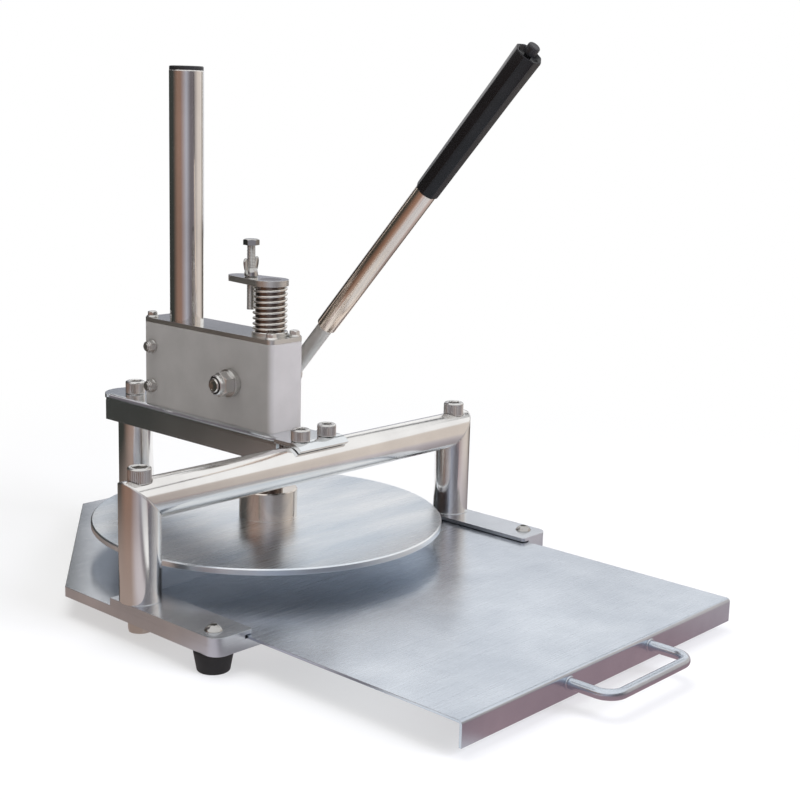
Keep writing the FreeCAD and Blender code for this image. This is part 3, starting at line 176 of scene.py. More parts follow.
FINE = 0.0004  # width of a brushed line
SATIN = 0.0012  # grain of polished tubes
SLOT_FINISHES = {
    "plate_steel": steel(
        "plate_finish",
        dark=(198, 203, 210),
        light=(224, 228, 234),
        roughness=(0.20, 0.28),
        line=(0.02, FINE, FINE),
        depth=0.000003,
        sides=0.3,
    ),
    "tube_steel": steel(
        "tube_finish",
        dark=(230, 228, 226),
        light=(246, 245, 243),
        roughness=(0.12, 0.15),
        line=(SATIN, SATIN, 0.02),
        depth=0.0000004,
        edge=0.0015,
    ),
    "spine_steel": steel(
        "spine_finish",
        dark=(220, 224, 227),
        light=(240, 243, 246),
        roughness=(0.10, 0.14),
        line=(FINE, 0.03, FINE),
        depth=0.000002,
        sides=0.25,
    ),
    "gearbox_paint": coat(
        "gearbox_finish",
        dark=(168, 164, 160),
        light=(176, 172, 168),
        roughness=(0.36, 0.46),
        size=0.0012,
        depth=0.00003,
    ),
    "cover_steel": steel(
        "cover_finish",
        dark=(210, 210, 208),
        light=(230, 230, 227),
        roughness=(0.10, 0.14),
        line=(FINE, 0.03, FINE),
        depth=0.000002,
        sides=0.4,
    ),
    "fastener_steel": steel(
        "fastener_finish",
        dark=(206, 205, 203),
        light=(230, 229, 227),
        roughness=(0.18, 0.26),
        line=(FINE, FINE, FINE),
        depth=0.000001,
        sides=0.32,
        edge=0.0003,
    ),
    "ram_steel": steel(
        "ram_finish",
        dark=(206, 197, 188),
        light=(232, 224, 216),
        roughness=(0.10, 0.14),
        line=(0.01, 0.01, FINE),
        depth=0.000002,
    ),
    # Steel grey with a blue cast that is painted reflection, standing in for the blue sky the disc's top
    # reflects; the clouds are random tone.
    "disc_steel": steel(
        "disc_finish",
        dark=(212, 222, 232),
        light=(252, 254, 255),
        roughness=(0.25, 0.32),
        line=(0.08, FINE, FINE),
        depth=0.000003,
        cloud=(0.16, 0.04, 0.04),
    ),
    # Steel grey with a blue cast that is painted reflection, standing in for the sky the tray reflects.
    "tray_steel": steel(
        "tray_finish",
        dark=(196, 204, 215),
        light=(220, 227, 236),
        roughness=(0.20, 0.30),
        line=(0.05, FINE, FINE),
        depth=0.000004,
    ),
    "lever_steel": steel(
        "lever_finish",
        dark=(238, 221, 206),
        light=(250, 235, 222),
        roughness=(0.14, 0.17),
        line=(SATIN, SATIN, SATIN),
        depth=0.0000002,
    ),
    "spring_steel": steel(
        "spring_finish",
        dark=(214, 210, 204),
        light=(240, 237, 232),
        roughness=(0.08, 0.12),
        line=(FINE, FINE, FINE),
        depth=0.0000005,
        edge=0.0002,
    ),
    "bush_bronze": steel(
        "bronze_finish",
        dark=(186, 150, 96),
        light=(206, 170, 112),
        roughness=(0.30, 0.40),
        line=(0.01, 0.01, FINE),
        depth=0.000005,
    ),
    "grip_black": coat(
        "grip_finish",
        dark=(22, 22, 24),
        light=(28, 27, 29),
        roughness=(0.20, 0.28),
        size=0.0008,
        depth=0.000005,
        sheen=0.3,
    ),
    "black_plastic": coat(
        "plastic_finish",
        dark=(28, 28, 30),
        light=(38, 37, 39),
        roughness=(0.32, 0.44),
        size=0.0008,
        depth=0.00002,
    ),
    "foot_rubber": coat(
        "rubber_finish",
        dark=(22, 22, 22),
        light=(32, 32, 32),
        roughness=(0.62, 0.75),
        size=0.001,
        depth=0.00004,
    ),
}
# Darker steel for the ram alone: painted shade, standing in for the shadow the ram sits in inside the
# spring.
RAM_PAINTED_SHADE = steel(
    "ram_painted_shade_finish",
    dark=(112, 101, 94),
    light=(138, 126, 118),
    roughness=(0.10, 0.16),
    line=(0.01, 0.01, FINE),
    depth=0.000002,
)
# Glossier steel for the front foot screws, the wing nut and the stop screw. The gloss is real; the darker
# colour is painted shade, standing in for the grey surroundings they would reflect.
GLOSSY_PAINTED_SHADE = steel(
    "glossy_painted_shade_finish",
    dark=(168, 167, 165),
    light=(196, 195, 193),
    roughness=(0.07, 0.12),
    line=(FINE, FINE, FINE),
    depth=0.0000005,
)
TURNED = steel(
    "turned_finish",
    dark=(222, 219, 215),
    light=(240, 237, 233),
    roughness=(0.40, 0.50),
    line=(0.003, FINE, FINE),
    depth=0.000004,
)
# The ram's finish and the front foot screws' darker finish carry painted shade.
NODE_FINISHES = {"ram": RAM_PAINTED_SHADE, "front_foot_screws": GLOSSY_PAINTED_SHADE, "lever_rod": TURNED, "lever_shaft": TURNED}

for name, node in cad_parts.items():
    for place in node.material_slots:
        place.material = NODE_FINISHES.get(name, SLOT_FINISHES[place.material.name])


# ---------------------------------------------------------------- mesh tools


def piece(name, mesh, slot_name, body, *stands_for, finish=None):
    """A finished mesh as a piece of the press: its finish, its body and the nodes it stands for."""
    made = bpy.data.objects.new(name, mesh)
    bpy.context.scene.collection.objects.link(made)
    mesh.materials.append(finish or SLOT_FINISHES[slot_name])
    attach(made, body)
    if stands_for:
        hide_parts(*stands_for)
    return made


def as_mesh(name, built, sharp_above=32):
    """The finished mesh, shaded smooth, with edges steeper than sharp_above degrees kept sharp."""
    bmesh.ops.recalc_face_normals(built, faces=built.faces)
    for face in built.faces:
        face.smooth = True
    for edge in built.edges:
        if len(edge.link_faces) == 2 and edge.calc_face_angle(0.0) > math.radians(sharp_above):
            edge.smooth = False
    mesh = bpy.data.meshes.new(name)
    built.to_mesh(mesh)
    built.free()
    return mesh


def loft(built, rings, close=False):
    """Skins rings of equally many points. The ends are capped, or joined if close is true."""
    rows = [[built.verts.new(point) for point in ring] for ring in rings]
    count = len(rows[0])
    pairs = list(zip(rows, rows[1:]))
    if close:
        pairs.append((rows[-1], rows[0]))
    else:
        built.faces.new(reversed(rows[0]))
        built.faces.new(rows[-1])
    for lower, upper in pairs:
        for i in range(count):
            after = (i + 1) % count
            built.faces.new((lower[i], lower[after], upper[after], upper[i]))


def level_ring(centre, reach, count):
    """Points round an upright axis; reach(angle, i) gives each point's distance from it."""
    ring = []
    for i in range(count):
        angle = i * 2 * math.pi / count
        away = reach(angle, i)
        ring.append(centre + Vector((away * math.cos(angle), away * math.sin(angle), 0)))
    return ring


def round_ring(centre, radius, count):
    """Points of a level circle."""
    return level_ring(centre, lambda angle, i: radius, count)


def knurled_ring(centre, radius, depth, count):
    """A circle whose every other point sits deeper."""
    return level_ring(centre, lambda angle, i: radius - depth * (i % 2), count)


def hex_ring(centre, across_flats, count):
    """A hexagon sampled at the same angles as the circles."""

    def reach(angle, i):
        from_flat = angle % (math.pi / 3) - math.pi / 6
        return across_flats / 2 / math.cos(from_flat)

    return level_ring(centre, reach, count)


def chamfer_ring(centre, across_flats, count, cone_r, rise):
    """Where a 30 degree cone, cone_r at the centre's height, cuts a hexagon; rise is 1 or -1."""
    ring = []
    for point in hex_ring(centre, across_flats, count):
        beyond = (point - centre).length - cone_r
        ring.append(point - UP * (rise * beyond * math.tan(math.pi / 6)))
    return ring


def tube_ring(middle, outward, along, radius, count):
    """Points round a wire or bead at middle, in the plane of the two directions."""
    ring = []
    for i in range(count):
        angle = 2 * math.pi * i / count
        ring.append(middle + (outward * math.cos(angle) + along * math.sin(angle)) * radius)
    return ring


def stack(base, profile, count):
    """Rings above base; the profile gives each ring's shape, and its size and height in mm."""
    return [shape(base + UP * MM * height, size * MM, count) for shape, size, height in profile]


# ---------------------------------------------------------------- socket-head screws

KNURL_TEETH = 36
M12 = {"head_r": 9 * MM, "head_h": 12 * MM, "socket": 10 * MM, "socket_depth": 6 * MM, "shank_r": 6 * MM}
M10 = {"head_r": 8 * MM, "head_h": 10 * MM, "socket": 8 * MM, "socket_depth": 5 * MM, "shank_r": 5 * MM}
HEAD_EDGE = 0.08  # shares of the head's radius
KNURL_DEPTH = 0.05
SHANK_CHAMFER = 0.2  # share of the shank's radius
HEAD_FOOT = 0.6  # the head's lower edge and the knurl's upper end, in edges
KNURL_END = 2.2
HEAD_RIM = [(0.0, 1.8), (0.35, 1.0), (1.6, 0.0)]  # inwards and down from the head's top, in edges
SOCKET_MOUTH = 0.6  # shares of the socket's width across flats
SOCKET_CHAMFER = 0.06
DRILL_DEPTH = 0.12
DRILL_R = 0.2


def cap_screw(built, head_base, shank_low, head_r, head_h, socket, socket_depth, shank_r):
    """A socket-head cap screw standing upright, knurled round the head."""
    count = 2 * KNURL_TEETH
    edge = head_r * HEAD_EDGE
    knurl = head_r * KNURL_DEPTH
    top = head_base + UP * head_h
    low = Vector((head_base.x, head_base.y, shank_low))
    rim = [round_ring(top - UP * edge * down, head_r - edge * inwards, count) for inwards, down in HEAD_RIM]
    loft(
        built,
        [
            round_ring(low, shank_r * (1 - SHANK_CHAMFER), count),
            round_ring(low + UP * shank_r * SHANK_CHAMFER, shank_r, count),
            round_ring(head_base, shank_r, count),
            round_ring(head_base, head_r - edge, count),
            round_ring(head_base + UP * edge * HEAD_FOOT, head_r, count),
            knurled_ring(head_base + UP * edge, head_r, knurl, count),
            knurled_ring(top - UP * edge * KNURL_END, head_r, knurl, count),
            *rim,
            round_ring(top, socket * SOCKET_MOUTH, count),
            hex_ring(top - UP * socket * SOCKET_CHAMFER, socket, count),
            hex_ring(top - UP * socket_depth, socket, count),
            round_ring(top - UP * (socket_depth + socket * DRILL_DEPTH), socket * DRILL_R, count),
        ],
    )


PORTAL_X = 179  # places and heights of part.py, in mm
PORTAL_Y = -54.6
PORTAL_SEAT = 97
REAR_LEG_Y = 185
SPINE_SEAT = 103
TONGUE_X = 15
TONGUE_SCREW_END = 71.5
LEG_SCREW_END = -19


def cap_screws(name, places, seat, end, size, node):
    """Socket-head screws of one size at those places (x, y) with their heads on one height."""
    built = bmesh.new()
    for x, y in places:
        cap_screw(built, at(x, y, seat), at(x, y, end).z, **size)
    piece(name, as_mesh(name, built), "fastener_steel", "frame", node)


PORTAL_PLACES = [(-PORTAL_X, PORTAL_Y), (PORTAL_X, PORTAL_Y)]
TONGUE_PLACES = [(-TONGUE_X, PORTAL_Y), (TONGUE_X, PORTAL_Y)]
cap_screws("portal_screws", PORTAL_PLACES, PORTAL_SEAT, LEG_SCREW_END, M12, "portal_bolts")
cap_screws("rear_leg_screw", [(0, REAR_LEG_Y)], SPINE_SEAT, LEG_SCREW_END, M12, "rear_leg_bolt")
cap_screws("tongue_screws", TONGUE_PLACES, SPINE_SEAT, TONGUE_SCREW_END, M10, "tongue_bolts")

# ---------------------------------------------------------------- return spring

COLLAR_TOP = 186.3
CAP_PLATE_LOW = 224.1
SPRING_R = 13.65 * MM
WIRE_R = 1.1 * MM
SPRING_LOW = at(0, 0, COLLAR_TOP).z + WIRE_R
SPRING_HIGH = at(0, 0, CAP_PLATE_LOW).z - WIRE_R
TURNS = 8.5
CLOSED_TURNS = 0.75
STEPS_PER_TURN = 48
WIRE_SIDES = 12


def spring_height(turn):
    """Height of the wire after that many turns: flat end turns, an even pitch between them."""
    closed_rise = CLOSED_TURNS * 2 * WIRE_R
    open_rise = SPRING_HIGH - SPRING_LOW - 2 * closed_rise
    if turn < CLOSED_TURNS:
        return SPRING_LOW + 2 * WIRE_R * turn
    if turn > TURNS - CLOSED_TURNS:
        return SPRING_HIGH - 2 * WIRE_R * (TURNS - turn)
    share = (turn - CLOSED_TURNS) / (TURNS - 2 * CLOSED_TURNS)
    return SPRING_LOW + closed_rise + open_rise * share


def spring_wire():
    """A round wire wound between the collar and the cap plate, its end turns closed."""
    axis = at(0, 0, 0)
    rings = []
    for step in range(int(TURNS * STEPS_PER_TURN) + 1):
        turn = step / STEPS_PER_TURN
        angle = 2 * math.pi * turn
        outward = Vector((math.cos(angle), math.sin(angle), 0))
        middle = Vector((axis.x, axis.y, spring_height(turn))) + outward * SPRING_R
        rings.append(tube_ring(middle, outward, UP, WIRE_R, WIRE_SIDES))
    built = bmesh.new()
    loft(built, rings)
    mesh = as_mesh("spring_wire", built, sharp_above=60)
    spring = piece("spring_wire", mesh, "spring_steel", "frame", "return_spring")
    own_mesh(spring)


spring_wire()

# ---------------------------------------------------------------- cover screws and lock nut

HEX_SIDES = 48  # points round a small turned or hexagonal piece
COVER_TOP = 182
COVER_SCREW_X = 13.2
COVER_SCREW_Y = (-16.2, 141.2)
COVER_SCREW_PROFILE = [  # shank, flange and domed hexagon head
    (round_ring, 2.5, -11),
    (round_ring, 2.5, 0),
    (round_ring, 5.3, 0),
    (round_ring, 5.5, 0.3),
    (round_ring, 5.4, 0.7),
    (round_ring, 4.7, 1.5),
    (hex_ring, 7.9, 1.7),
    (hex_ring, 7.9, 4.2),
    (round_ring, 3.9, 4.8),
    (round_ring, 3.2, 5.15),
    (round_ring, 1.6, 5.25),
]


def flanged_screws():
    """The cover's four flanged screws."""
    built = bmesh.new()
    for x in (-COVER_SCREW_X, COVER_SCREW_X):
        for y in COVER_SCREW_Y:
            loft(built, stack(at(x, y, COVER_TOP), COVER_SCREW_PROFILE, HEX_SIDES))
    piece("flanged_screws", as_mesh("flanged_screws", built), "fastener_steel", "frame", "cover_screws")


flanged_screws()

SHAFT_Y = 27
SHAFT_Z = 139.5
NUT_X = -23.8
NUT_AF = 19
NUT_CONE_R = 9.3  # where the chamfers start
HEX_H = 9.4
THREAD_R = 6
NUT_FOOT = [(round_ring, THREAD_R, 0), (round_ring, NUT_CONE_R, 0)]
NUT_COLLAR = [  # the rounded collar round the locking ring, and the ring's recess
    (round_ring, NUT_CONE_R, HEX_H),
    (round_ring, 8.8, 9.5),
    (round_ring, 8.7, 12.6),
    (round_ring, 8.4, 13.3),
    (round_ring, 7.8, 13.8),
    (round_ring, 7.5, 14.0),
    (round_ring, 7.2, 13.7),
    (round_ring, 7.2, 12.0),
    (round_ring, THREAD_R, 12.0),
]
SHAFT_END_X = -38.8
SHAFT_END_PROFILE = [  # the threaded end, chamfered and centre-drilled
    (round_ring, 4.0, -0.2),
    (round_ring, 5.8, -0.2),
    (round_ring, 5.8, 0.1),
    (round_ring, 5.2, 0.6),
    (round_ring, 4.2, 0.6),
    (round_ring, 3.9, 0.45),
    (round_ring, 2.6, 0.45),
    (round_ring, 1.0, 0.1),
    (round_ring, 0.4, 0.1),
]
CHAMFER_SHARP = 24  # degrees; sharper edges than this stay sharp


def laid_along_shaft(mesh, x):
    """The upright mesh, turned to point out to the left along the shaft from x."""
    mesh.transform(Matrix.Translation(at(x, SHAFT_Y, SHAFT_Z)) @ Matrix.Rotation(math.radians(-90), 4, "Y"))
    return mesh


def shaft_lock_nut():
    """The hexagon nut on the lever's shaft."""
    rings = stack(ORIGIN, NUT_FOOT, HEX_SIDES)
    for height, rise in ((0, -1), (HEX_H, 1)):
        rings.append(chamfer_ring(UP * MM * height, NUT_AF * MM, HEX_SIDES, NUT_CONE_R * MM, rise))
    built = bmesh.new()
    loft(built, rings + stack(ORIGIN, NUT_COLLAR, HEX_SIDES), close=True)
    mesh = laid_along_shaft(as_mesh("shaft_lock_nut", built, CHAMFER_SHARP), NUT_X)
    piece("shaft_lock_nut", mesh, "fastener_steel", "lever", "shaft_nut")


def shaft_end():
    """The shaft's end, which shows in the lock nut."""
    built = bmesh.new()
    loft(built, stack(ORIGIN, SHAFT_END_PROFILE, HEX_SIDES))
    mesh = laid_along_shaft(as_mesh("shaft_end", built, CHAMFER_SHARP), SHAFT_END_X)
    piece("shaft_end", mesh, "spring_steel", "lever")


shaft_lock_nut()
shaft_end()

# ---------------------------------------------------------------- wing nut

STOP_Y = 24
WING_NUT_LOW = 229.7
WING_TURN = math.radians(22)
WING_HALF_T = 1.1
WING_OUTLINE = [  # distance from the axis and height of a wing's corners, in mm
    (4.4, 1.0), (7.2, 1.0), (9.4, 3.0), (11.6, 6.4), (12.9, 9.6), (13.4, 12.4),
    (12.9, 14.6), (11.4, 15.9), (9.6, 15.8), (8.2, 14.4), (7.0, 11.4), (5.6, 8.2), (4.4, 6.9),
]
WING_SLICES = [  # share of the half thickness, share of the outline's size
    (-1.0, 0.82), (-0.75, 0.95), (-0.3, 1.0), (0.3, 1.0), (0.75, 0.95), (1.0, 0.82),
]
WING_HUB_PROFILE = [
    (round_ring, 3.8, 0),
    (round_ring, 5.6, 0),
    (round_ring, 6.0, 0.4),
    (round_ring, 5.8, 2.4),
    (round_ring, 5.2, 6.4),
    (round_ring, 4.7, 7.0),
    (round_ring, 3.8, 7.0),
]


def wing_slice(side, depth, size):
    """The wing's outline at one depth, drawn in round its middle to that size."""
    middle_x = sum(x for x, z in WING_OUTLINE) / len(WING_OUTLINE)
    middle_z = sum(z for x, z in WING_OUTLINE) / len(WING_OUTLINE)
    ring = []
    for x, z in WING_OUTLINE:
        across = side * (middle_x + (x - middle_x) * size)
        ring.append(Vector((across, depth * WING_HALF_T, middle_z + (z - middle_z) * size)) * MM)
    return ring


def winged_nut():
    """A coned hub and two rounded wings."""
    built = bmesh.new()
    loft(built, stack(ORIGIN, WING_HUB_PROFILE, HEX_SIDES), close=True)
    for side in (-1, 1):
        loft(built, [wing_slice(side, depth, size) for depth, size in WING_SLICES])
    mesh = as_mesh("winged_nut", built, sharp_above=50)
    mesh.transform(Matrix.Translation(at(0, STOP_Y, WING_NUT_LOW)) @ Matrix.Rotation(WING_TURN, 4, "Z"))
    # The wing nut's finish is darkened as painted shade.
    piece("winged_nut", mesh, "fastener_steel", "wing_nut", "wing_nut", finish=GLOSSY_PAINTED_SHADE)


winged_nut()

# ---------------------------------------------------------------- grip

GRIP_X = 51
GRIP_TURN = math.radians(42.1)
GRIP_SIDES = 8
FACET_STEPS = 6
CORNER_CUT = 0.35  # how far out the blended circle lies between a flat and a corner
GRIP_START = 228.6
GRIP_END = 371.3
LOW_R = 10.3
TOP_R = 11.4
GRIP_PROFILE = [  # radius over the corners, distance from the shaft, roundness of the corners
    (9.0, GRIP_START, 1.0),
    (LOW_R - 0.4, GRIP_START, 0.9),
    (LOW_R, GRIP_START + 0.5, 0.5),
    (LOW_R + 0.02, GRIP_START + 2.0, 0.3),
    (TOP_R - 0.3, GRIP_END - 30.0, 0.3),
    (TOP_R + 0.3, GRIP_END - 1.2, 0.3),
    (TOP_R + 0.2, GRIP_END - 0.3, 0.3),
    (TOP_R - 0.2, GRIP_END, 0.3),
    (TOP_R - 1.2, GRIP_END, 0.5),
    (TOP_R - 2.2, GRIP_END - 0.8, 0.8),
    (TOP_R - 3.6, GRIP_END - 3.0, 1.0),
    (3.3, GRIP_END - 3.0, 1.0),
]


def facet_ring(radius, height, roundness):
    """An octagon over its corners, its corners blended to a circle by roundness."""
    half_side = math.pi / GRIP_SIDES
    flat = radius * math.cos(half_side)
    circle = flat * (1 + CORNER_CUT * (1 / math.cos(half_side) - 1))

    def reach(angle, i):
        from_flat = (angle + half_side) % (2 * half_side) - half_side
        straight = flat / math.cos(from_flat)
        return straight + (min(straight, circle) - straight) * roundness

    return [point * MM for point in level_ring(UP * height, reach, GRIP_SIDES * FACET_STEPS)]


def faceted_grip():
    """An eight-sided tapered handle with rounded corners and a rounded, hollowed end."""
    built = bmesh.new()
    loft(built, [facet_ring(*entry) for entry in GRIP_PROFILE])
    mesh = as_mesh("faceted_grip", built, sharp_above=20)
    mesh.transform(Matrix.Translation(at(GRIP_X, SHAFT_Y, SHAFT_Z)) @ Matrix.Rotation(GRIP_TURN, 4, "X"))
    piece("faceted_grip", mesh, "grip_black", "lever", "lever_grip")


faceted_grip()

# ---------------------------------------------------------------- the tray handle's welds

HANDLE_X = 50
HANDLE_Z = -6.0
FLANGE_Y = -358.0
WELD_R = 4.3
BEAD_R = 1.0
BEAD_SWELL = 0.12
BEAD_WAVES = 7
BEAD_STEPS = 24
BEAD_SIDES = 8


def handle_welds():
    """A rippled bead round each end of the bar handle, where it meets the tray's flange."""
    built = bmesh.new()
    for side in (-HANDLE_X, HANDLE_X):
        rings = []
        for i in range(BEAD_STEPS):
            around = 2 * math.pi * i / BEAD_STEPS
            outward = Vector((math.cos(around), 0, math.sin(around)))
            middle = at(side, FLANGE_Y, HANDLE_Z) + outward * WELD_R * MM
            radius = (BEAD_R + BEAD_SWELL * math.sin(BEAD_WAVES * around)) * MM
            rings.append(tube_ring(middle, outward, Vector((0, -1, 0)), radius, BEAD_SIDES))
        loft(built, rings, close=True)
    piece("handle_welds", as_mesh("handle_welds", built, sharp_above=70), "tray_steel", "tray")


handle_welds()

# ---------------------------------------------------------------- stop bolt

STOP_LOW = 201.4
STOP_THREAD_TOP = 256
HEAD_LOW = 256.05
HEAD_TOP = 261.05
HEAD_AF = 12.0
HEAD_CONE_R = 5.6
STOP_PITCH = 1.25
STOP_R = 3.7
STOP_THREAD_DEPTH = 0.45
STEPS_PER_PITCH = 4
THREAD_SIDES = 24


def turned(ring, centre, angle):
    """The ring turned about the upright line through its centre."""
    spin = Matrix.Rotation(angle, 3, "Z")
    return [centre + spin @ (point - centre) for point in ring]


def thread_ring(low, height):
    """The threaded rod's outline at that height in mm above low."""

    def reach(angle, i):
        phase = (height / STOP_PITCH - i / THREAD_SIDES) % 1.0
        return (STOP_R - STOP_THREAD_DEPTH * abs(2 * phase - 1)) * MM

    return level_ring(low + UP * height * MM, reach, THREAD_SIDES)


def stop_screw():
    """A threaded rod with a hexagon head."""
    low = at(0, STOP_Y, STOP_LOW)
    run = STOP_THREAD_TOP - STOP_LOW
    count = round(run / STOP_PITCH * STEPS_PER_PITCH)
    built = bmesh.new()
    loft(built, [thread_ring(low, run * step / count) for step in range(count + 1)])
    base = at(0, STOP_Y, HEAD_LOW)
    top = at(0, STOP_Y, HEAD_TOP)
    head = [
        hex_ring(base, HEAD_AF * MM, THREAD_SIDES),
        chamfer_ring(top, HEAD_AF * MM, THREAD_SIDES, HEAD_CONE_R * MM, 1),
        round_ring(top, HEAD_CONE_R * MM, THREAD_SIDES),
    ]
    loft(built, [turned(ring, base, WING_TURN) for ring in head])
    mesh = as_mesh("stop_screw", built)
    # The stop screw's finish is darkened as painted shade.
    piece("stop_screw", mesh, "fastener_steel", "stop_bolt", "stop_bolt", finish=GLOSSY_PAINTED_SHADE)


stop_screw()

# ---------------------------------------------------------------- background and floor

WORLD_LIGHT = 0.42  # what the surroundings add to matt surfaces
FLOOR_R = 6.0
FLOOR_T = 0.004
FLOOR_SIDES = 96
FLOOR_WHITE = 0.9
FLOOR_ROUGHNESS = 0.9
FADE_FROM = 0.3  # the floor turns to the plain background between these distances
FADE_TO = 0.9
FADE_LEAST = 0.5


def seen_directly(tree):
    """1 where a camera, glossy or transmission ray looks, which sees the plain background."""
    path = tree.nodes.new("ShaderNodeLightPath")
    first = tree.nodes.new("ShaderNodeMath")
    first.operation = "MAXIMUM"
    second = tree.nodes.new("ShaderNodeMath")
    second.operation = "MAXIMUM"
    tree.links.new(path.outputs["Is Camera Ray"], first.inputs[0])
    tree.links.new(path.outputs["Is Glossy Ray"], first.inputs[1])
    tree.links.new(first.outputs["Value"], second.inputs[0])
    tree.links.new(path.outputs["Is Transmission Ray"], second.inputs[1])
    return second.outputs["Value"]


def white_world():
    """A white background at full strength, which lights matt surfaces more weakly."""
    world = bpy.data.worlds.new("studio")
    bpy.context.scene.world = world
    world.use_nodes = True
    tree = world.node_tree
    background = tree.nodes["Background"]
    background.inputs["Color"].default_value = (1, 1, 1, 1)
    strength = tree.nodes.new("ShaderNodeMapRange")
    strength.inputs["To Min"].default_value = WORLD_LIGHT
    strength.inputs["To Max"].default_value = 1.0
    tree.links.new(seen_directly(tree), strength.inputs["Value"])
    tree.links.new(strength.outputs["Result"], background.inputs["Strength"])


def floor_finish():
    """White that keeps the press's shadow and fades to the plain background further out."""
    material = bpy.data.materials.new("floor_finish")
    material.use_nodes = True
    tree = material.node_tree
    shader = tree.nodes["Principled BSDF"]
    shader.inputs["Base Color"].default_value = (FLOOR_WHITE, FLOOR_WHITE, FLOOR_WHITE, 1)
    shader.inputs["Roughness"].default_value = FLOOR_ROUGHNESS
    shader.inputs["Specular IOR Level"].default_value = 0.0
    glow = tree.nodes.new("ShaderNodeEmission")
    blend = tree.nodes.new("ShaderNodeMixShader")
    place = tree.nodes.new("ShaderNodeTexCoord")
    away = tree.nodes.new("ShaderNodeVectorMath")
    away.operation = "LENGTH"
    fade = tree.nodes.new("ShaderNodeMapRange")
    fade.interpolation_type = "SMOOTHSTEP"
    fade.inputs["From Min"].default_value = FADE_FROM
    fade.inputs["From Max"].default_value = FADE_TO
    fade.inputs["To Min"].default_value = FADE_LEAST
    share = tree.nodes.new("ShaderNodeMath")
    share.operation = "MULTIPLY"
    tree.links.new(place.outputs["Object"], away.inputs[0])
    tree.links.new(away.outputs["Value"], fade.inputs["Value"])
    tree.links.new(fade.outputs["Result"], share.inputs[0])
    tree.links.new(seen_directly(tree), share.inputs[1])
    tree.links.new(share.outputs["Value"], blend.inputs["Fac"])
    tree.links.new(shader.outputs["BSDF"], blend.inputs[1])
    tree.links.new(glow.outputs["Emission"], blend.inputs[2])
    tree.links.new(blend.outputs["Shader"], tree.nodes["Material Output"].inputs["Surface"])
    return material


def studio_floor():
    """A thin round slab whose top lies at height 0."""
    mesh = bpy.data.meshes.new("floor")
    built = bmesh.new()
    loft(built, [round_ring(UP * height, FLOOR_R, FLOOR_SIDES) for height in (-FLOOR_T, 0)])
    built.to_mesh(mesh)
    built.free()
    mesh.materials.append(floor_finish())
    floor = bpy.data.objects.new("floor", mesh)
    bpy.context.scene.collection.objects.link(floor)


white_world()
studio_floor()

# ---------------------------------------------------------------- the room that the steel shows

# Toned screens round the press, seen by glossy rays alone. Colours are 0 to 255.
PURE = (255, 255, 255)
WHITE = (250, 250, 250)
PALE = (225, 228, 231)
LIGHT = (205, 198, 202)
CREAM = (220, 210, 202)
LILAC = (178, 178, 188)
CLAY = (165, 148, 140)
PINK = (168, 142, 146)
BROWN = (145, 116, 102)
MIST = (146, 149, 156)
SLATE = (128, 131, 139)
SHADE = (114, 108, 112)
UMBER = (84, 76, 72)
IRON = (70, 72, 76)
DARK = (58, 60, 57)
WALL_TONES = [  # direction in degrees, colour; for the walls and the floor's outer part
    (66, DARK),
    (125, DARK),
    (160, BROWN),
    (182, BROWN),
    (222, LILAC),
    (252, SHADE),
    (276, SHADE),
    (318, CREAM),
    (344, CREAM),
    (372, UMBER),
    (386, UMBER),
]
FLOOR_TONES = [  # the same for the floor close to the press
    (66, UMBER),
    (140, CLAY),
    (176, CLAY),
    (190, LIGHT),
    (205, LIGHT),
    (211, SHADE),
    (216, SHADE),
    (221, WHITE),
    (237, WHITE),
    (246, PINK),
    (290, PINK),
    (325, LIGHT),
    (386, SHADE),
]
SIDE_TONES = [(62, WHITE), (76, LIGHT), (90, SHADE), (140, SHADE)]
FAR_TONES = [  # height in metres, colour
    (0.00, LILAC),
    (0.60, LILAC),
    (0.66, SLATE),
    (0.74, SLATE),
    (0.79, MIST),
    (0.84, PALE),
    (0.88, PURE),
]
LOWEST = 0.0006  # height of the toned floor over the white one
NEAR_R = 1.1  # distance of the walls
FAR_R = 3.0
SIDE_R = 2.0
# The rows of each screen, as (distance, height) in metres.
FLOOR_ROWS = [(radius, LOWEST) for radius in (0.12, 0.3, 0.45, 0.6, NEAR_R)]
WALL_ROWS = [(NEAR_R, LOWEST), (NEAR_R, 0.62)]
LOW_WALL_ROWS = [(NEAR_R, LOWEST), (NEAR_R, 0.2)]
BEHIND_ROWS = [(FAR_R, LOWEST), (FAR_R, 0.56)]
SIDE_ROWS = [(SIDE_R, height) for height in (0.5, 0.8, 1.1, 1.4, 3.0)]
FAR_ROWS = [(FAR_R, height) for height, colour in FAR_TONES]
BAR_ROWS = [(FAR_R, 2.15), (FAR_R, 2.55)]
DEGREES_PER_STEP = 2

FLOOR_TONES_R = 0.3  # the floor has FLOOR_TONES up to this distance
WALL_TONES_R = 0.6  # and WALL_TONES from this one on
WHITE_TOP = 1.4  # the side screen's white corner starts under this height
WHITE_TOP_FADE = 0.4
WHITE_FROM = 112  # and past this direction, in degrees
WHITE_FROM_FADE = 12


def share_between(value, none, full):
    """0 at or before none, 1 at or past full, and even between them."""
    return max(0.0, min(1.0, (value - none) / (full - none)))


def tone(listed, place):
    """The colour at that place of a list, linear between its entries."""
    for (low, first), (high, second) in zip(listed, listed[1:]):
        if place <= high:
            share = (place - low) / (high - low)
            return [a + (b - a) * share for a, b in zip(linear(*first), linear(*second))]
    return linear(*listed[-1][1])


def near_tone(degrees, radius, height):
    """The tone of the walls and of the floor, which changes close to the press."""
    close = share_between(radius, WALL_TONES_R, FLOOR_TONES_R)
    return [a + (b - a) * close for a, b in zip(tone(WALL_TONES, degrees), tone(FLOOR_TONES, degrees))]


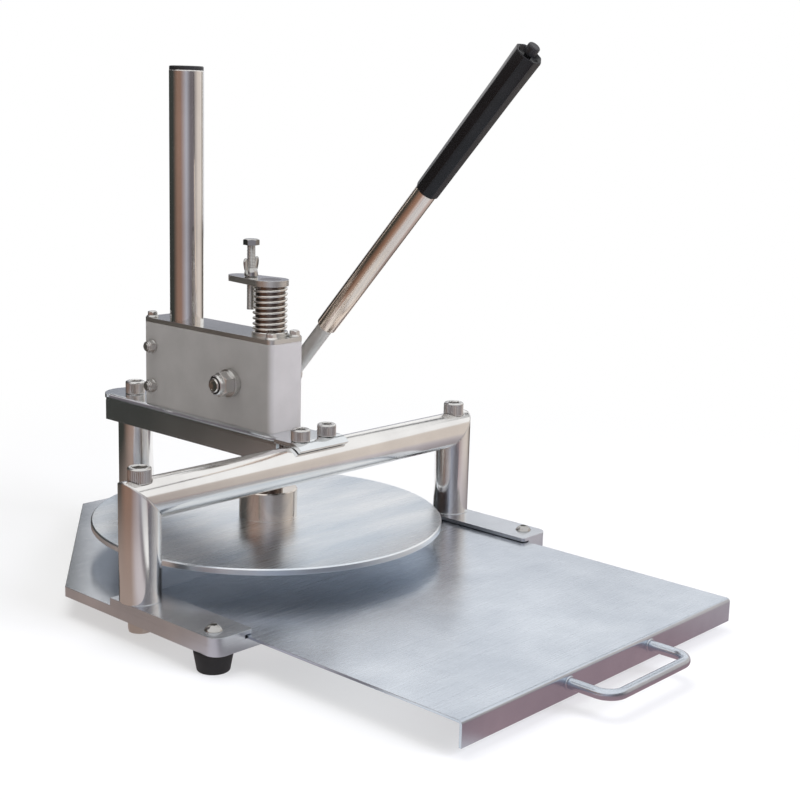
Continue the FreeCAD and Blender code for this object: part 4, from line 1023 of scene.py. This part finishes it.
def side_tone(degrees, radius, height):
    """Dark, but white low down at the far end, which the side of the spine shows to the plate."""
    low_down = share_between(height, WHITE_TOP, WHITE_TOP - WHITE_TOP_FADE)
    white = low_down * share_between(degrees, WHITE_FROM, WHITE_FROM + WHITE_FROM_FADE)
    return [a + (1 - a) * white for a in tone(SIDE_TONES, degrees)]


def far_tone(degrees, radius, height):
    """The far screen changes with its height alone."""
    return tone(FAR_TONES, height)


def bar_tone(degrees, radius, height):
    """The high bar has one tone."""
    return linear(*IRON)


def screen_finish():
    """A glow in the tones stored in the screen's mesh."""
    material = bpy.data.materials.new("screen_finish")
    material.use_nodes = True
    tree = material.node_tree
    tree.nodes.remove(tree.nodes["Principled BSDF"])
    tones = tree.nodes.new("ShaderNodeVertexColor")
    tones.layer_name = "tone"
    glow = tree.nodes.new("ShaderNodeEmission")
    tree.links.new(tones.outputs["Color"], glow.inputs["Color"])
    tree.links.new(glow.outputs["Emission"], tree.nodes["Material Output"].inputs["Surface"])
    return material


SCREEN_FINISH = screen_finish()


def screen(name, first_degrees, last_degrees, rows, colour):
    """A curved screen with those rows; colour(degrees, radius, height) gives its tones."""
    steps = round((last_degrees - first_degrees) / DEGREES_PER_STEP)
    built = bmesh.new()
    layer = built.loops.layers.float_color.new("tone")
    columns = []
    for i in range(steps + 1):
        degrees = first_degrees + (last_degrees - first_degrees) * i / steps
        way = Vector((math.cos(math.radians(degrees)), math.sin(math.radians(degrees)), 0))
        corners = [built.verts.new(way * radius + UP * height) for radius, height in rows]
        columns.append((corners, [colour(degrees, radius, height) for radius, height in rows]))
    for (here, here_tones), (there, there_tones) in zip(columns, columns[1:]):
        for row in range(len(rows) - 1):
            face = built.faces.new((here[row], there[row], there[row + 1], here[row + 1]))
            shades = (here_tones[row], there_tones[row], there_tones[row + 1], here_tones[row + 1])
            for loop, shade in zip(face.loops, shades):
                loop[layer] = shade
    mesh = bpy.data.meshes.new(name)
    built.to_mesh(mesh)
    built.free()
    mesh.materials.append(SCREEN_FINISH)
    made = bpy.data.objects.new(name, mesh)
    bpy.context.scene.collection.objects.link(made)
    made.visible_camera = False
    made.visible_diffuse = False
    made.visible_transmission = False
    made.visible_shadow = False
    made.visible_volume_scatter = False


screen("floor_screen", 66, 386, FLOOR_ROWS, near_tone)
screen("wall_screen", 66, 344, WALL_ROWS, near_tone)
screen("low_wall_screen", 344, 386, LOW_WALL_ROWS, near_tone)
screen("behind_screen", 340, 370, BEHIND_ROWS, near_tone)
screen("side_screen", 62, 140, SIDE_ROWS, side_tone)
screen("far_screen", 26, 70, FAR_ROWS, far_tone)
screen("high_bar", 352, 410, BAR_ROWS, bar_tone)

# ---------------------------------------------------------------- lamps and camera

LAMP_AIM = Vector((0, 0, 0.1))


def lamp(name, place, width, watts, colour):
    """A soft square lamp that points at the press."""
    data = bpy.data.lights.new(name, "AREA")
    data.shape = "SQUARE"
    data.size = width
    data.energy = watts
    data.color = colour
    made = bpy.data.objects.new(name, data)
    bpy.context.scene.collection.objects.link(made)
    made.location = place
    made.rotation_mode = "QUATERNION"
    made.rotation_quaternion = (LAMP_AIM - Vector(place)).to_track_quat("-Z", "Y")
    made.visible_glossy = False


lamp("key", place=(0.5, -2.4, 1.3), width=1.6, watts=68, colour=(0.95, 0.97, 1.12))
lamp("top", place=(-0.2, 0.3, 2.6), width=1.8, watts=34, colour=(1.0, 1.0, 1.0))

CAMERA_PLACE = at(-811.71, -884.13, 378.69)  # fitted to the photo, as are the angles and the lens
CAMERA_YAW = math.radians(-47.87)
CAMERA_PITCH = math.radians(-11.78)
CAMERA_ROLL = math.radians(1.63)
SENSOR_WIDTH = 36.0
LENS = 64.63
CLIP_START = 0.01

data = bpy.data.cameras.new("camera")
data.sensor_width = SENSOR_WIDTH
data.lens = LENS
data.clip_start = CLIP_START
camera = bpy.data.objects.new("camera", data)
bpy.context.scene.collection.objects.link(camera)
camera.matrix_world = (
    Matrix.Translation(CAMERA_PLACE)
    @ Matrix.Rotation(CAMERA_YAW, 4, "Z")
    @ Matrix.Rotation(math.pi / 2 + CAMERA_PITCH, 4, "X")
    @ Matrix.Rotation(CAMERA_ROLL, 4, "Z")
)
bpy.context.scene.camera = camera
bpy.context.scene.view_settings.view_transform = "Standard"
